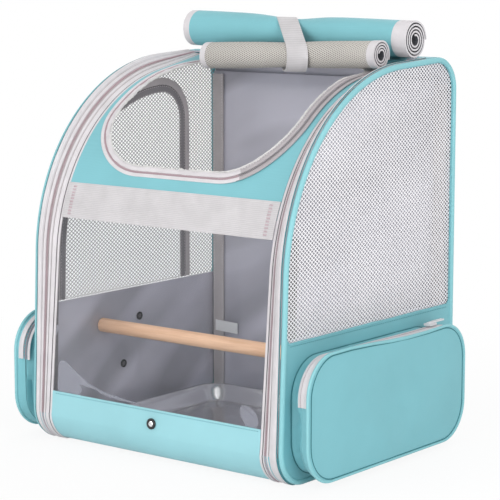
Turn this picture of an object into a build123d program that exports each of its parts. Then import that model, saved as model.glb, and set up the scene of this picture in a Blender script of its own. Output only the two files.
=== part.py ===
from build123d import *
import os
from math import cos, sin, radians, hypot

# Backpack-style travel carrier for a small bird. Millimetres, +Z up.
# Origin: middle of the flat bottom. +X is the carrier's right side seen from its
# front, -Y is the front with the clear window, +Y is the back with the straps.

# ---- driving dimensions -------------------------------------------------------
WIDTH = 320.0              # between the two side panels' mid-planes
DEPTH = 300.0              # front foot to back panel
FRONT_LEAN = 0.040         # the front leans back this much per mm of height
TOP_HEIGHT = 391.1         # height of the top line above the middle of the bottom
TOP_SLOPE = 0.056          # the top rises this much per mm towards the back
SHOULDER_RADIUS = DEPTH - 98   # big front-to-top curve of the side outline
BACK_TOP_RADIUS = 34.0
BACK_BOTTOM_RADIUS = 18.0
FOOT_RADIUS = 36.0

# the door's cloth hangs a little inside the stiff side outline
DOOR_SINK = 0.7            # at the bottom
DOOR_LEAN = 0.085
DOOR_TOP_HEIGHT = TOP_HEIGHT - 17.1
DOOR_TOP_SLOPE = 0.20
DOOR_RADIUS = SHOULDER_RADIUS - 2

CLOTH = 1.6                # thickness of the teal cloth panels
FILM = 0.8                 # clear window
GAP = 0.3                  # between pieces that move past each other
LAY = 0.2                  # between two layers that lie on each other

PIPING_RADIUS = 4.0
WIRE_RADIUS = 1.5

# side panels
SIDE_CLOTH = 2.0
SIDE_BORDER = 9.5          # outline to mesh window
WINDOW_BOTTOM = 139.0
MESH = 1.0
LINING = 1.0
LINING_TOP = 142.0

# front door
FOLD_HEIGHT = 34.0         # the door folds forward here
DOOR_HALF_WIDTH = WIDTH / 2 - 24
BAND_TOP = 56.0
CROSSBAND_LOW = 235.0
CROSSBAND_HIGH = 270.0
CROSSBAND = 1.2
DOOR_REAR = DEPTH / 2 - 52  # where the door's top edge ends
STUD_HEIGHT = 41.5
STUD_RADIUS = 5.5
STUD_CAP = 2.0

# access opening in the door's upper panel, on a plane square to the shoulder
OPENING_TILT = 38.3        # degrees from level
OPENING_MIDDLE = (103 - DEPTH / 2, TOP_HEIGHT - 62.1)
OPENING_HALF_WIDTH = DOOR_HALF_WIDTH - 6
OPENING_LOW = -79.0
OPENING_HIGH = 137.0
OPENING_LOW_RADIUS = 78.0
OPENING_HIGH_RADIUS = 40.0
BINDING_WIDTH = 12.0
BINDING_PROUD = 0.6

# main zips
DOOR_TAPE = 4.0
COIL_WIDTH = 2.4
SHELL_TAPE_OUTER = WIDTH / 2 - 4.5   # outer edge of the shell's tape, from the middle

# rolled curtains on the top
COVER_LENGTH = WIDTH - 30
COVER_MIDDLE = 6.0
COVER_RADIUS = 20.0
COVER_WAIST = 15.5
COVER_AXIS = (DOOR_REAR - 10, TOP_HEIGHT + 27.6)   # at the tie strap
COVER_TILT = 1.17          # degrees, left end higher
SCREEN_LENGTH = WIDTH - 96
SCREEN_MIDDLE = 25.0
SCREEN_RADIUS = 15.0
SCREEN_AXIS = (DOOR_REAR - 50, TOP_HEIGHT + 5.8)
SCREEN_TILT = -1.87
TIE_MIDDLE = -5.0
TIE_WIDTH = 24.0
TIE_THICKNESS = 1.2
TIE_SLACK = 0.45           # room for the tilt of the rolls

# zipped mesh door in the left side
ARCH_INSET = 34.0
ARCH_BACK = DEPTH / 2 - 57
ARCH_BOTTOM = 143.0
ARCH_BACK_RADIUS = DEPTH / 5 - 22
ARCH_TAPE = 8.0

# inside
BOARD = 3.0
BOARD_HALF_WIDTH = WIDTH / 2 - 10
BOARD_FRONT = 38 - DEPTH / 2
BOARD_BACK = DEPTH / 2 - 16.5
BACK_PAD = 7.0
CORNER_TAPE = 16.0
PERCH_RADIUS = 7.5
PERCH_PLACE = (-47.3, 108.0)
SPARE_EYELETS = [(13.5, 109.0), (-13.3, 60.0)]
EYELET_RADIUS = 4.5
EYELET_HOLE = 2.5
EYELET_LIP = 6.5
SHANK_RADIUS = 2.45
SHANK_DEPTH = 15.0         # into the dowel
KNOB_RADIUS = 9.0
KNOB = 7.0

# stainless tray
TRAY_SIZE = (WIDTH - 52, DEPTH - 82)
TRAY_MIDDLE = 3.0
TRAY_HEIGHT = 17.0
TRAY_FLARE = 13.0
TRAY_RADIUS = 26.0
TRAY_LIP = 4.0
TRAY_STEEL = 0.8

# side pockets
POCKET_DEPTH = 30.0
POCKET_BASE = (18 - DEPTH / 2, DEPTH / 2 - 35, 8.0, 124.0)   # front, back, bottom, top at the side
POCKET_FACE = (5 - DEPTH / 2, DEPTH / 2 - 23, 7.0, 129.0)    # the same at the outer face
POCKET_RADIUS = 38.0
POCKET_CLOTH = 1.5
POCKET_FOLD = 80.0         # height of the flap's fold line
POCKET_ZIP = 19.0          # zip line, out from the side panel
SLIDER_LENGTH = 12.0
SLIDER_WIDTH = 8.0
SLIDER_HEIGHT = 3.6
POCKET_SLIDER_REST = 78.0

# back
STRAP_TOP = TOP_HEIGHT - 46.1
STRAP_BOTTOM = 122.0
STRAP_MIDDLE = STRAP_TOP - 105
STRAP_TOP_X = WIDTH / 4 + 2
STRAP_BOTTOM_X = WIDTH / 4 + 24
STRAP_FOLD_ROOM = 0.8      # yoke to pad, so that the pad can swing
STRAP_WIDTH = 54.0
STRAP_PAD = 11.0
WEBBING_WIDTH = 25.0
WEBBING = 2.0
ADJUSTER = 11.6            # height of the ladder lock
ANCHOR = 3.0               # thickness of the sewn tabs
ANCHOR_PLACE = (WIDTH / 2 - 32, 34.0)
HANDLE_SPAN = 84.0
HANDLE_DROP = 46.0
HANDLE_RADIUS = 5.5
HANDLE_HEIGHT = TOP_HEIGHT - 19.1

# ---- places that follow -------------------------------------------------------
BACK = DEPTH / 2
SIDE_OUT = WIDTH / 2 + SIDE_CLOTH / 2          # outer face of a side panel
SIDE_IN = WIDTH / 2 - SIDE_CLOTH / 2
MESH_OUT = SIDE_IN - LAY
MESH_IN = MESH_OUT - MESH
LINING_OUT = MESH_IN - LAY
LINING_IN = LINING_OUT - LINING
SHELL_HALF = WIDTH / 2 - PIPING_RADIUS - LAY   # cloth between the two pipings
PIPE_INSET = 2 * PIPING_RADIUS
COIL_OUT = DOOR_HALF_WIDTH + DOOR_TAPE + COIL_WIDTH
BOARD_LOW = CLOTH + LAY
TRAY_FLOOR = BOARD_LOW + BOARD + LAY
LINING_SPAN = (BACK_BOTTOM_RADIUS / 2, TOP_HEIGHT - BACK_TOP_RADIUS / 2)
SIDES = {"left": -1, "right": 1}


# ---- outlines -----------------------------------------------------------------
def meet(p, u, q, v):
    """Point where the line p + s*u crosses the line q + t*v."""
    det = u[0] * v[1] - u[1] * v[0]
    s = ((q[0] - p[0]) * v[1] - (q[1] - p[1]) * v[0]) / det
    return (p[0] + s * u[0], p[1] + s * u[1])


def d_outline(inset=0.0, back=None, bottom=None, radii=None, door=False):
    """Side view of the carrier, drawn parallel to its edge at a given inset."""
    lean, slope = (DOOR_LEAN, DOOR_TOP_SLOPE) if door else (FRONT_LEAN, TOP_SLOPE)
    height = DOOR_TOP_HEIGHT if door else TOP_HEIGHT
    shoulder = DOOR_RADIUS if door else SHOULDER_RADIUS
    front = (-DEPTH / 2 - (DOOR_SINK if door else 0.0) + inset * hypot(1, lean), 0.0)
    top = (0.0, height - inset * hypot(1, slope))
    back = BACK - inset if back is None else back
    bottom = inset if bottom is None else bottom
    foot, heel, rear = radii or (FOOT_RADIUS - inset, BACK_BOTTOM_RADIUS - inset,
                                 BACK_TOP_RADIUS - inset)
    corners = [meet(front, (lean, 1), (0, bottom), (1, 0)), (back, bottom),
               meet((back, 0), (0, 1), top, (1, slope)),
               meet(front, (lean, 1), top, (1, slope))]
    rounds = [max(foot, 0), max(heel, 0), max(rear, 0), shoulder - inset]
    return make_face(FilletPolyline(*corners, radius=rounds, close=True))


def region(*points):
    return make_face(Polyline(*points, close=True))


def rounded(front, back, low, high, radius):
    """Rounded rectangle in the side view."""
    return Pos((front + back) / 2, (low + high) / 2) * RectangleRounded(
        back - front, high - low, radius)


def across(face, x0, x1):
    """Stand a side-view face up and make it reach from x0 to x1."""
    low, high = min(x0, x1), max(x0, x1)
    return extrude(Plane.YZ.offset(low) * face, amount=high - low, dir=(1, 0, 0))


def skin(outer, inner, keep=None, door=False):
    """Side view of a sheet that follows the outline between two insets."""
    face = d_outline(outer, door=door) - d_outline(inner, door=door)
    return face & keep if keep is not None else face


def box(x0, x1, y0, y1, z0, z1):
    low = (min(x0, x1), min(y0, y1), min(z0, z1))
    return Pos(*low) * Box(abs(x1 - x0), abs(y1 - y0), abs(z1 - z0),
                           align=(Align.MIN, Align.MIN, Align.MIN))


def x_cylinder(radius, x0, x1, place):
    """Cylinder along X between x0 and x1, at a (y, z) place."""
    low, high = min(x0, x1), max(x0, x1)
    return extrude(Plane.YZ.offset(low) * Pos(*place) * Circle(radius),
                   amount=high - low, dir=(1, 0, 0))


FAR = 400.0
DOOR_PART = region((-FAR, FOLD_HEIGHT + GAP), (DOOR_REAR, FOLD_HEIGHT + GAP),
                   (DOOR_REAR, 2 * FAR), (-FAR, 2 * FAR))


def door_slice(low, high):
    return region((-FAR, low), (0, low), (0, high), (-FAR, high))


# ---- shell --------------------------------------------------------------------
def bottom_panel():
    keep = region((-FAR, -10), (FAR, -10), (FAR, BACK_BOTTOM_RADIUS),
                  (-DEPTH / 3, BACK_BOTTOM_RADIUS), (-DEPTH / 3, FOLD_HEIGHT),
                  (-FAR, FOLD_HEIGHT))
    return across(skin(0, CLOTH, keep), -SHELL_HALF, SHELL_HALF)


def top_rear_panel():
    corner = TOP_HEIGHT - BACK_TOP_RADIUS
    keep = region((DOOR_REAR + GAP, corner), (FAR, corner), (FAR, 2 * FAR),
                  (DOOR_REAR + GAP, 2 * FAR))
    return across(skin(0, CLOTH, keep), -SHELL_HALF, SHELL_HALF)


def back_panel():
    low, high = BACK_BOTTOM_RADIUS + LAY, TOP_HEIGHT - BACK_TOP_RADIUS - LAY
    pad = box(-SHELL_HALF, SHELL_HALF, BACK - BACK_PAD, BACK, low, high)
    return fillet(pad.edges().filter_by(Axis.Z), BACK_PAD / 3)


def back_lining():
    out = BACK - BACK_PAD - LAY
    edge = LINING_IN - 4 * LAY
    return box(-edge, edge, out - LINING, out, *LINING_SPAN)


def corner_tape(side):
    out = BACK - BACK_PAD - 2 * LAY - LINING
    edge = LINING_IN - 2 * LAY
    return box(side * (edge - CORNER_TAPE), side * edge, out - LINING, out, *LINING_SPAN)


def blank_label():
    out = BACK - BACK_PAD - 3 * LAY - 2 * LINING
    edge = LINING_IN - CORNER_TAPE / 4
    return box(-edge, -edge + 35, out - 0.5, out, 76, 86)


def base_board():
    board = box(-BOARD_HALF_WIDTH, BOARD_HALF_WIDTH, BOARD_FRONT, BOARD_BACK,
                BOARD_LOW, BOARD_LOW + BOARD)
    return fillet(board.edges().filter_by(Axis.Z), 8)


def eyelet_places():
    return [PERCH_PLACE] + SPARE_EYELETS


def side_holes(side, radius):
    return [x_cylinder(radius, side * (LINING_IN - 5), side * (SIDE_OUT + 5), place)
            for place in eyelet_places()]


def window_outline():
    inner = BACK_TOP_RADIUS - SIDE_BORDER
    return d_outline(SIDE_BORDER, bottom=WINDOW_BOTTOM, radii=(8, 8, inner))


def side_panel(side):
    panel = across(d_outline(PIPE_INSET + LAY) - window_outline(),
                   side * SIDE_IN, side * SIDE_OUT)
    return panel - side_holes(side, EYELET_RADIUS + LAY / 4)


def mesh_outline():
    inset = PIPE_INSET + LAY
    return d_outline(inset, bottom=WINDOW_BOTTOM - 6, radii=(4, 4, BACK_TOP_RADIUS - inset))


def arch(inset, bottom=ARCH_BOTTOM + GAP):
    """Outline of the zipped arch, with its zip line at inset 0."""
    return d_outline(ARCH_INSET + inset, back=ARCH_BACK - inset, bottom=bottom,
                     radii=(0, 0, ARCH_BACK_RADIUS - inset))


def arch_ring(outer, inner):
    return arch(outer) - arch(inner, bottom=0)


def side_mesh(side):
    face = mesh_outline()
    if side < 0:
        face = face - arch(-ARCH_TAPE - LAY, bottom=ARCH_BOTTOM)
    return across(face, side * MESH_IN, side * MESH_OUT)


def side_lining(side):
    face = d_outline(PIPE_INSET + LAY) & region(
        (-FAR, BOARD_LOW + BOARD), (BACK - BACK_PAD - LAY, BOARD_LOW + BOARD),
        (BACK - BACK_PAD - LAY, LINING_TOP), (-FAR, LINING_TOP))
    sheet = across(face, side * LINING_IN, side * LINING_OUT)
    return sheet - side_holes(side, EYELET_RADIUS + LAY / 4)


def eyelets(side):
    rings = []
    for place in eyelet_places():
        tube = x_cylinder(EYELET_RADIUS, side * (LINING_IN - LAY), side * (SIDE_OUT + LAY), place)
        lip = x_cylinder(EYELET_LIP, side * (SIDE_OUT + LAY / 2),
                         side * (SIDE_OUT + LAY / 2 + 0.8), place)
        bore = x_cylinder(EYELET_HOLE, side * (LINING_IN - 5), side * (SIDE_OUT + 5), place)
        rings.append(tube + lip - bore)
    return Compound(children=rings)


def edge_path(side):
    outline = d_outline(PIPING_RADIUS).face().outer_wire()
    return Plane.YZ.offset(side * WIDTH / 2) * outline


def pipe_along(path, radius, bore=0.0):
    start = path @ 0
    section = Circle(radius) - Circle(bore) if bore else Circle(radius)
    return sweep(Plane(origin=start, z_dir=path % 0) * section, path=path)


def edge_piping(side):
    return pipe_along(edge_path(side), PIPING_RADIUS, WIRE_RADIUS + LAY / 4)


def frame_wire(side):
    return pipe_along(edge_path(side), WIRE_RADIUS)


def shell_zip_tape(side):
    """Slants from the sunk door cloth out to the stiff side outline."""
    inner = skin(0, CLOTH, DOOR_PART, door=True)
    outer = skin(0, CLOTH, DOOR_PART)
    start = Plane.YZ.offset(side * (COIL_OUT + GAP)) * inner
    end = Plane.YZ.offset(side * SHELL_TAPE_OUTER) * outer
    return loft([start.face(), end.face()], ruled=True)


# ---- front door ---------------------------------------------------------------
def door_sheet(keep, x0, x1, outer=0.0, inner=CLOTH):
    return across(skin(outer, inner, keep & DOOR_PART, door=True), x0, x1)


def door_band():
    return door_sheet(door_slice(0, BAND_TOP), -DOOR_HALF_WIDTH, DOOR_HALF_WIDTH)


def clear_window():
    middle = (CROSSBAND_LOW + CROSSBAND_HIGH) / 2
    return door_sheet(door_slice(BAND_TOP, middle), -DOOR_HALF_WIDTH, DOOR_HALF_WIDTH,
                      (CLOTH - FILM) / 2, (CLOTH + FILM) / 2)


def crossband():
    return door_sheet(door_slice(CROSSBAND_LOW, CROSSBAND_HIGH), -DOOR_HALF_WIDTH,
                      DOOR_HALF_WIDTH, -CROSSBAND, 0)


def opening_plane():
    tilt = radians(OPENING_TILT)
    y, z = OPENING_MIDDLE
    return Plane(origin=(0, y, z), x_dir=(1, 0, 0), z_dir=(0, -sin(tilt), cos(tilt)))


def opening_prism(inset):
    half = OPENING_HALF_WIDTH - inset
    low, high = OPENING_LOW + inset, OPENING_HIGH - inset
    big, small = OPENING_LOW_RADIUS - inset, OPENING_HIGH_RADIUS - inset
    face = make_face(FilletPolyline((-half, low), (half, low), (half, high), (-half, high),
                                    radius=[big, big, small, small], close=True))
    return extrude(opening_plane() * face, amount=90, both=True)


def upper_part():
    middle = (CROSSBAND_LOW + CROSSBAND_HIGH) / 2
    return region((-FAR, middle), (FAR, middle), (FAR, 2 * FAR), (-FAR, 2 * FAR))


def upper_panel():
    sheet = door_sheet(upper_part(), -DOOR_HALF_WIDTH, DOOR_HALF_WIDTH)
    return sheet - opening_prism(0)


def opening_binding():
    sheet = door_sheet(upper_part(), -DOOR_HALF_WIDTH, DOOR_HALF_WIDTH,
                       -BINDING_PROUD, CLOTH + BINDING_PROUD)
    return sheet & (opening_prism(0) - opening_prism(BINDING_WIDTH))


def door_zip_tape(side):
    tape = door_sheet(DOOR_PART, side * DOOR_HALF_WIDTH, side * (COIL_OUT - COIL_WIDTH))
    coil = door_sheet(DOOR_PART, side * (COIL_OUT - COIL_WIDTH), side * COIL_OUT,
                      -BINDING_PROUD, CLOTH)
    return tape + coil


def press_stud():
    y = -DEPTH / 2 - DOOR_SINK + DOOR_LEAN * STUD_HEIGHT
    plane = Plane(origin=(0, y, STUD_HEIGHT), z_dir=(0, -1, DOOR_LEAN))
    cap = extrude(plane * Circle(STUD_RADIUS), amount=STUD_CAP)
    return fillet(cap.edges().group_by(Axis.Y)[0], STUD_CAP * 0.4)


def roll_solid(axis, tilt, low, high, end_radius, waist_radius, waist_at):
    """Rolled curtain, pinched and tilted where the tie strap holds it."""
    edge = Polyline((low, 0), (low, end_radius), (low + 20, end_radius))
    pinch = Spline((low + 20, end_radius), (waist_at - TIE_WIDTH / 2, waist_radius),
                   tangents=((1, 0), (1, 0)))
    held = Line((waist_at - TIE_WIDTH / 2, waist_radius), (waist_at + TIE_WIDTH / 2, waist_radius))
    swell = Spline((waist_at + TIE_WIDTH / 2, waist_radius), (high - 20, end_radius),
                   tangents=((1, 0), (1, 0)))
    close = Polyline((high - 20, end_radius), (high, end_radius), (high, 0), (low, 0))
    face = make_face([edge, pinch, held, swell, close])
    roll = Pos(-waist_at, 0, 0) * revolve(face, Axis.X)
    return Pos(waist_at, *axis) * Rot(0, tilt, 0) * roll


def roll_root(low, high, front, back, bottom, top):
    """Strip that joins a roll to the panel under it, open where the tie strap passes."""
    tied = box(TIE_MIDDLE - TIE_WIDTH / 2, TIE_MIDDLE + TIE_WIDTH / 2, front, back, bottom, top)
    return box(low, high, front, back, bottom, top) - tied


def door_top_at(y):
    return DOOR_TOP_HEIGHT + DOOR_TOP_SLOPE * y


def cover_roll():
    roll = roll_solid(COVER_AXIS, COVER_TILT, COVER_MIDDLE - COVER_LENGTH / 2,
                      COVER_MIDDLE + COVER_LENGTH / 2, COVER_RADIUS, COVER_WAIST, TIE_MIDDLE)
    y = DOOR_REAR - 6
    return roll + roll_root(-DOOR_HALF_WIDTH, DOOR_HALF_WIDTH, y - CLOTH, y,
                            door_top_at(y) + LAY, COVER_AXIS[1])


def mesh_roll():
    roll = roll_solid(SCREEN_AXIS, SCREEN_TILT, SCREEN_MIDDLE - SCREEN_LENGTH / 2,
                      SCREEN_MIDDLE + SCREEN_LENGTH / 2, SCREEN_RADIUS, SCREEN_RADIUS - 1,
                      TIE_MIDDLE)
    front, back = SCREEN_AXIS[0] + 10, SCREEN_AXIS[0] + 22
    low = door_top_at(back) + BINDING_PROUD + LAY
    reach = SCREEN_LENGTH / 2 - SCREEN_RADIUS - 5
    return roll + roll_root(SCREEN_MIDDLE - reach, SCREEN_MIDDLE + reach, front, back,
                            low, low + CLOTH)


def tie_loop(grow):
    """Band round both rolls: the hull of two circles."""
    circles = [Pos(*COVER_AXIS) * Circle(COVER_WAIST + grow),
               Pos(*SCREEN_AXIS) * Circle(SCREEN_RADIUS - 1 + grow)]
    return make_hull([edge for circle in circles for edge in circle.edges()])


def tie_strap():
    half = TIE_WIDTH / 2 - GAP
    loop = tie_loop(TIE_SLACK + TIE_THICKNESS) - tie_loop(TIE_SLACK)
    return across(loop, TIE_MIDDLE - half, TIE_MIDDLE + half)


# ---- zipped mesh door in the left side -----------------------------------------
def mesh_door():
    return across(arch(ARCH_TAPE), -MESH_IN, -MESH_OUT)


def mesh_door_tape():
    return across(arch_ring(GAP / 2, ARCH_TAPE - LAY), -MESH_IN, -MESH_OUT)


def mesh_door_frame_tape():
    return across(arch_ring(-ARCH_TAPE, -GAP / 2), -MESH_IN, -MESH_OUT)


def slider_block(length, width, height):
    """Zip slider lying on XY with its run along X and a flat pull tab on top."""
    shoe = Box(length, width, height * 0.6, align=(Align.CENTER, Align.CENTER, Align.MIN))
    tab = Pos(length * 0.4, 0, height * 0.6) * Box(
        length * 1.5, width * 0.5, height * 0.4, align=(Align.MIN, Align.CENTER, Align.MIN))
    bridge = Pos(0, 0, height * 0.6) * Box(
        length * 0.8, width * 0.3, height * 0.4, align=(Align.CENTER, Align.CENTER, Align.MIN))
    return shoe + bridge + tab


def mesh_door_slider():
    place = Plane(origin=(-MESH_OUT - LAY - GAP, ARCH_BACK, ARCH_BOTTOM + 12),
                  x_dir=(0, 0, 1), z_dir=(-1, 0, 0))
    return place * slider_block(SLIDER_LENGTH, SLIDER_WIDTH, SLIDER_HEIGHT)


# ---- side pockets ---------------------------------------------------------------
def pocket_outline(values, inset):
    front, back, low, high = values
    return rounded(front + inset, back - inset, low + inset, high - inset, POCKET_RADIUS - inset)


def pocket_solid(side, inset, depth):
    """Box that flares from the side panel out to the face."""
    wall = side * (SIDE_OUT + LAY)
    start = Plane.YZ.offset(wall) * pocket_outline(POCKET_BASE, inset)
    end = Plane.YZ.offset(side * (SIDE_OUT + depth)) * pocket_outline(POCKET_FACE, inset)
    return loft([start.face(), end.face()], ruled=True)


def pocket_shell(side):
    outer = pocket_solid(side, 0, POCKET_DEPTH)
    return outer - pocket_solid(side, POCKET_CLOTH, POCKET_DEPTH - POCKET_CLOTH)


def flap_space(side, grow):
    x = side * (SIDE_OUT + POCKET_ZIP)
    return box(x - side * grow, side * (SIDE_OUT + 60), -FAR, FAR, POCKET_FOLD - grow, FAR)


def pocket_body(side):
    return pocket_shell(side) - flap_space(side, GAP / 2)


def pocket_flap(side):
    return pocket_shell(side) & flap_space(side, -GAP / 2)


def pocket_slider(side):
    share = POCKET_ZIP / POCKET_DEPTH
    top = POCKET_BASE[3] + share * (POCKET_FACE[3] - POCKET_BASE[3])
    place = Plane(origin=(side * (SIDE_OUT + POCKET_ZIP), POCKET_SLIDER_REST,
                          top + SLIDER_WIDTH * 0.1 + GAP), x_dir=(0, 1, 0), z_dir=(0, 0, 1))
    return place * slider_block(SLIDER_LENGTH, SLIDER_WIDTH, SLIDER_HEIGHT)


# ---- perch and tray -------------------------------------------------------------
def perch():
    half = LINING_IN - 2 * LAY
    dowel = x_cylinder(PERCH_RADIUS, -half, half, PERCH_PLACE)
    for side in SIDES.values():
        dowel -= x_cylinder(EYELET_HOLE, side * (half - SHANK_DEPTH - 1), side * (half + 1),
                            PERCH_PLACE)
    return dowel


def perch_screw(side):
    seat = SIDE_OUT + 0.8 + LAY + GAP
    knob = x_cylinder(KNOB_RADIUS, side * seat, side * (seat + KNOB), PERCH_PLACE)
    knob = fillet(knob.edges().filter_by(GeomType.CIRCLE), 1.5)
    shank = x_cylinder(SHANK_RADIUS, side * (LINING_IN - 2 * LAY - SHANK_DEPTH),
                       side * (seat + 1), PERCH_PLACE)
    return knob + shank


def tray_solid(inset, lift):
    """Flared dish: a small rounded floor and a larger rounded rim."""
    long, deep = TRAY_SIZE
    rim = TRAY_LIP + inset
    top = Plane.XY.offset(TRAY_FLOOR + TRAY_HEIGHT) * Pos(0, TRAY_MIDDLE) * RectangleRounded(
        long - 2 * rim, deep - 2 * rim, TRAY_RADIUS - inset)
    floor = Plane.XY.offset(TRAY_FLOOR + lift) * Pos(0, TRAY_MIDDLE) * RectangleRounded(
        long - 2 * rim - 2 * TRAY_FLARE, deep - 2 * rim - 2 * TRAY_FLARE,
        TRAY_RADIUS - TRAY_FLARE * 0.6 - inset)
    return loft([floor.face(), top.face()], ruled=True)


def tray():
    long, deep = TRAY_SIZE
    high = TRAY_FLOOR + TRAY_HEIGHT
    lip = Pos(0, TRAY_MIDDLE, high - TRAY_STEEL) * (
        extrude(RectangleRounded(long, deep, TRAY_RADIUS), amount=TRAY_STEEL)
        - extrude(RectangleRounded(long - 2 * TRAY_LIP - 2 * TRAY_STEEL,
                                   deep - 2 * TRAY_LIP - 2 * TRAY_STEEL,
                                   TRAY_RADIUS - TRAY_STEEL), amount=TRAY_STEEL))
    return tray_solid(0, 0) - tray_solid(TRAY_STEEL, TRAY_STEEL) + lip


# ---- back: straps and handle ------------------------------------------------------
def shoulder_strap(side):
    half = STRAP_WIDTH / 2
    low_half = STRAP_WIDTH * 0.38
    inner = Spline((STRAP_TOP_X - half, STRAP_TOP), (STRAP_TOP_X - half * 0.7, STRAP_MIDDLE),
                   (STRAP_BOTTOM_X - low_half, STRAP_BOTTOM))
    base = Line((STRAP_BOTTOM_X - low_half, STRAP_BOTTOM), (STRAP_BOTTOM_X + low_half, STRAP_BOTTOM))
    outer = Spline((STRAP_BOTTOM_X + low_half, STRAP_BOTTOM), (STRAP_TOP_X + half * 1.15, STRAP_MIDDLE),
                   (STRAP_TOP_X + half, STRAP_TOP))
    head = Line((STRAP_TOP_X + half, STRAP_TOP), (STRAP_TOP_X - half, STRAP_TOP))
    face = make_face([inner, base, outer, head])
    if side < 0:
        face = mirror(face, Plane.YZ)
    wall = Plane(origin=(0, BACK + GAP + STRAP_PAD, 0), x_dir=(1, 0, 0), z_dir=(0, -1, 0))
    return extrude(wall * face, amount=STRAP_PAD)


def strap_yoke(side):
    """Flat tab that sews the strap's top to the back panel."""
    x = side * STRAP_TOP_X
    half = STRAP_WIDTH / 2 - 4
    return box(x - half, x + half, BACK, BACK + ANCHOR, STRAP_TOP + STRAP_FOLD_ROOM, STRAP_TOP + 11)


def strap_webbing(side):
    """Adjusting web from the ladder lock down over the corner anchor."""
    half = WEBBING_WIDTH / 2 - 0.5
    high, low = STRAP_BOTTOM - ADJUSTER - 2 * LAY, ANCHOR_PLACE[1] + 16
    top_x, low_x = STRAP_BOTTOM_X, ANCHOR_PLACE[0] - 8
    face = region((top_x - half, high), (low_x - half, low), (low_x + half, low),
                  (top_x + half, high))
    if side < 0:
        face = mirror(face, Plane.YZ)
    wall = Plane(origin=(0, BACK + ANCHOR + LAY + WEBBING, 0), x_dir=(1, 0, 0), z_dir=(0, -1, 0))
    return extrude(wall * face, amount=WEBBING)


def strap_adjuster(side):
    """Ladder-lock buckle at the foot of the shoulder strap."""
    place = Pos(side * STRAP_BOTTOM_X, BACK + GAP + STRAP_PAD / 2, STRAP_BOTTOM - LAY - ADJUSTER / 2)
    frame = Box(WEBBING_WIDTH + 10, 7, ADJUSTER) - Box(WEBBING_WIDTH, 10, ADJUSTER / 2)
    return place * frame


def strap_anchor(side):
    """Folded webbing triangle sewn into the bottom back corner."""
    x, z = ANCHOR_PLACE
    face = region((x - 26, z + 20), (x - 2, z + 32), (WIDTH / 2 - 6, z - 4), (WIDTH / 2 - 6, z - 12),
                  (x - 12, z - 12))
    if side < 0:
        face = mirror(face, Plane.YZ)
    wall = Plane(origin=(0, BACK + ANCHOR, 0), x_dir=(1, 0, 0), z_dir=(0, -1, 0))
    return extrude(wall * face, amount=ANCHOR)


def carry_handle():
    y = BACK + 2 + GAP + HANDLE_RADIUS
    half = HANDLE_SPAN / 2
    path = FilletPolyline((-half, 0), (-half, -HANDLE_DROP), (half, -HANDLE_DROP), (half, 0),
                          radius=24)
    wall = Plane(origin=(0, y, HANDLE_HEIGHT), x_dir=(1, 0, 0), z_dir=(0, -1, 0))
    line = wall * path
    return pipe_along(line, HANDLE_RADIUS)


def handle_anchors():
    tabs = []
    for side in SIDES.values():
        x = side * HANDLE_SPAN / 2
        z = HANDLE_HEIGHT
        tabs.append(box(x - 9, x + 9, BACK + LAY, BACK + 2, z - 14, z - 1))
    return Compound(children=tabs)


# ---- write every node -------------------------------------------------------------
def nodes():
    made = {
        "bottom_panel": bottom_panel(), "base_board": base_board(),
        "back_panel": back_panel(), "back_lining": back_lining(),
        "top_rear_panel": top_rear_panel(), "blank_label": blank_label(),
        "door_band": door_band(), "press_stud": press_stud(),
        "clear_window": clear_window(), "crossband": crossband(),
        "upper_panel": upper_panel(), "opening_binding": opening_binding(),
        "cover_roll": cover_roll(), "mesh_roll": mesh_roll(), "tie_strap": tie_strap(),
        "mesh_door": mesh_door(), "mesh_door_tape": mesh_door_tape(),
        "mesh_door_frame_tape": mesh_door_frame_tape(),
        "mesh_door_slider": mesh_door_slider(),
        "perch": perch(), "tray": tray(),
        "carry_handle": carry_handle(), "handle_anchors": handle_anchors(),
    }
    mirrored = {
        "side_panel": side_panel, "side_mesh": side_mesh, "side_lining": side_lining,
        "eyelets": eyelets, "edge_piping": edge_piping, "frame_wire": frame_wire,
        "shell_zip_tape": shell_zip_tape, "door_zip_tape": door_zip_tape,
        "corner_tape": corner_tape, "perch_screw": perch_screw,
        "pocket_body": pocket_body, "pocket_flap": pocket_flap,
        "pocket_slider": pocket_slider, "shoulder_strap": shoulder_strap,
        "strap_yoke": strap_yoke, "strap_webbing": strap_webbing,
        "strap_adjuster": strap_adjuster, "strap_anchor": strap_anchor,
    }
    for name, make in mirrored.items():
        for side, sign in SIDES.items():
            made[f"{name}_{side}"] = make(sign)
    return made


os.makedirs("parts", exist_ok=True)
for name, shape in nodes().items():
    export_step(shape, f"parts/{name}.step")
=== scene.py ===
import math

import bmesh
import bpy
import numpy as np
from mathutils import Matrix, Vector, noise


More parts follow.
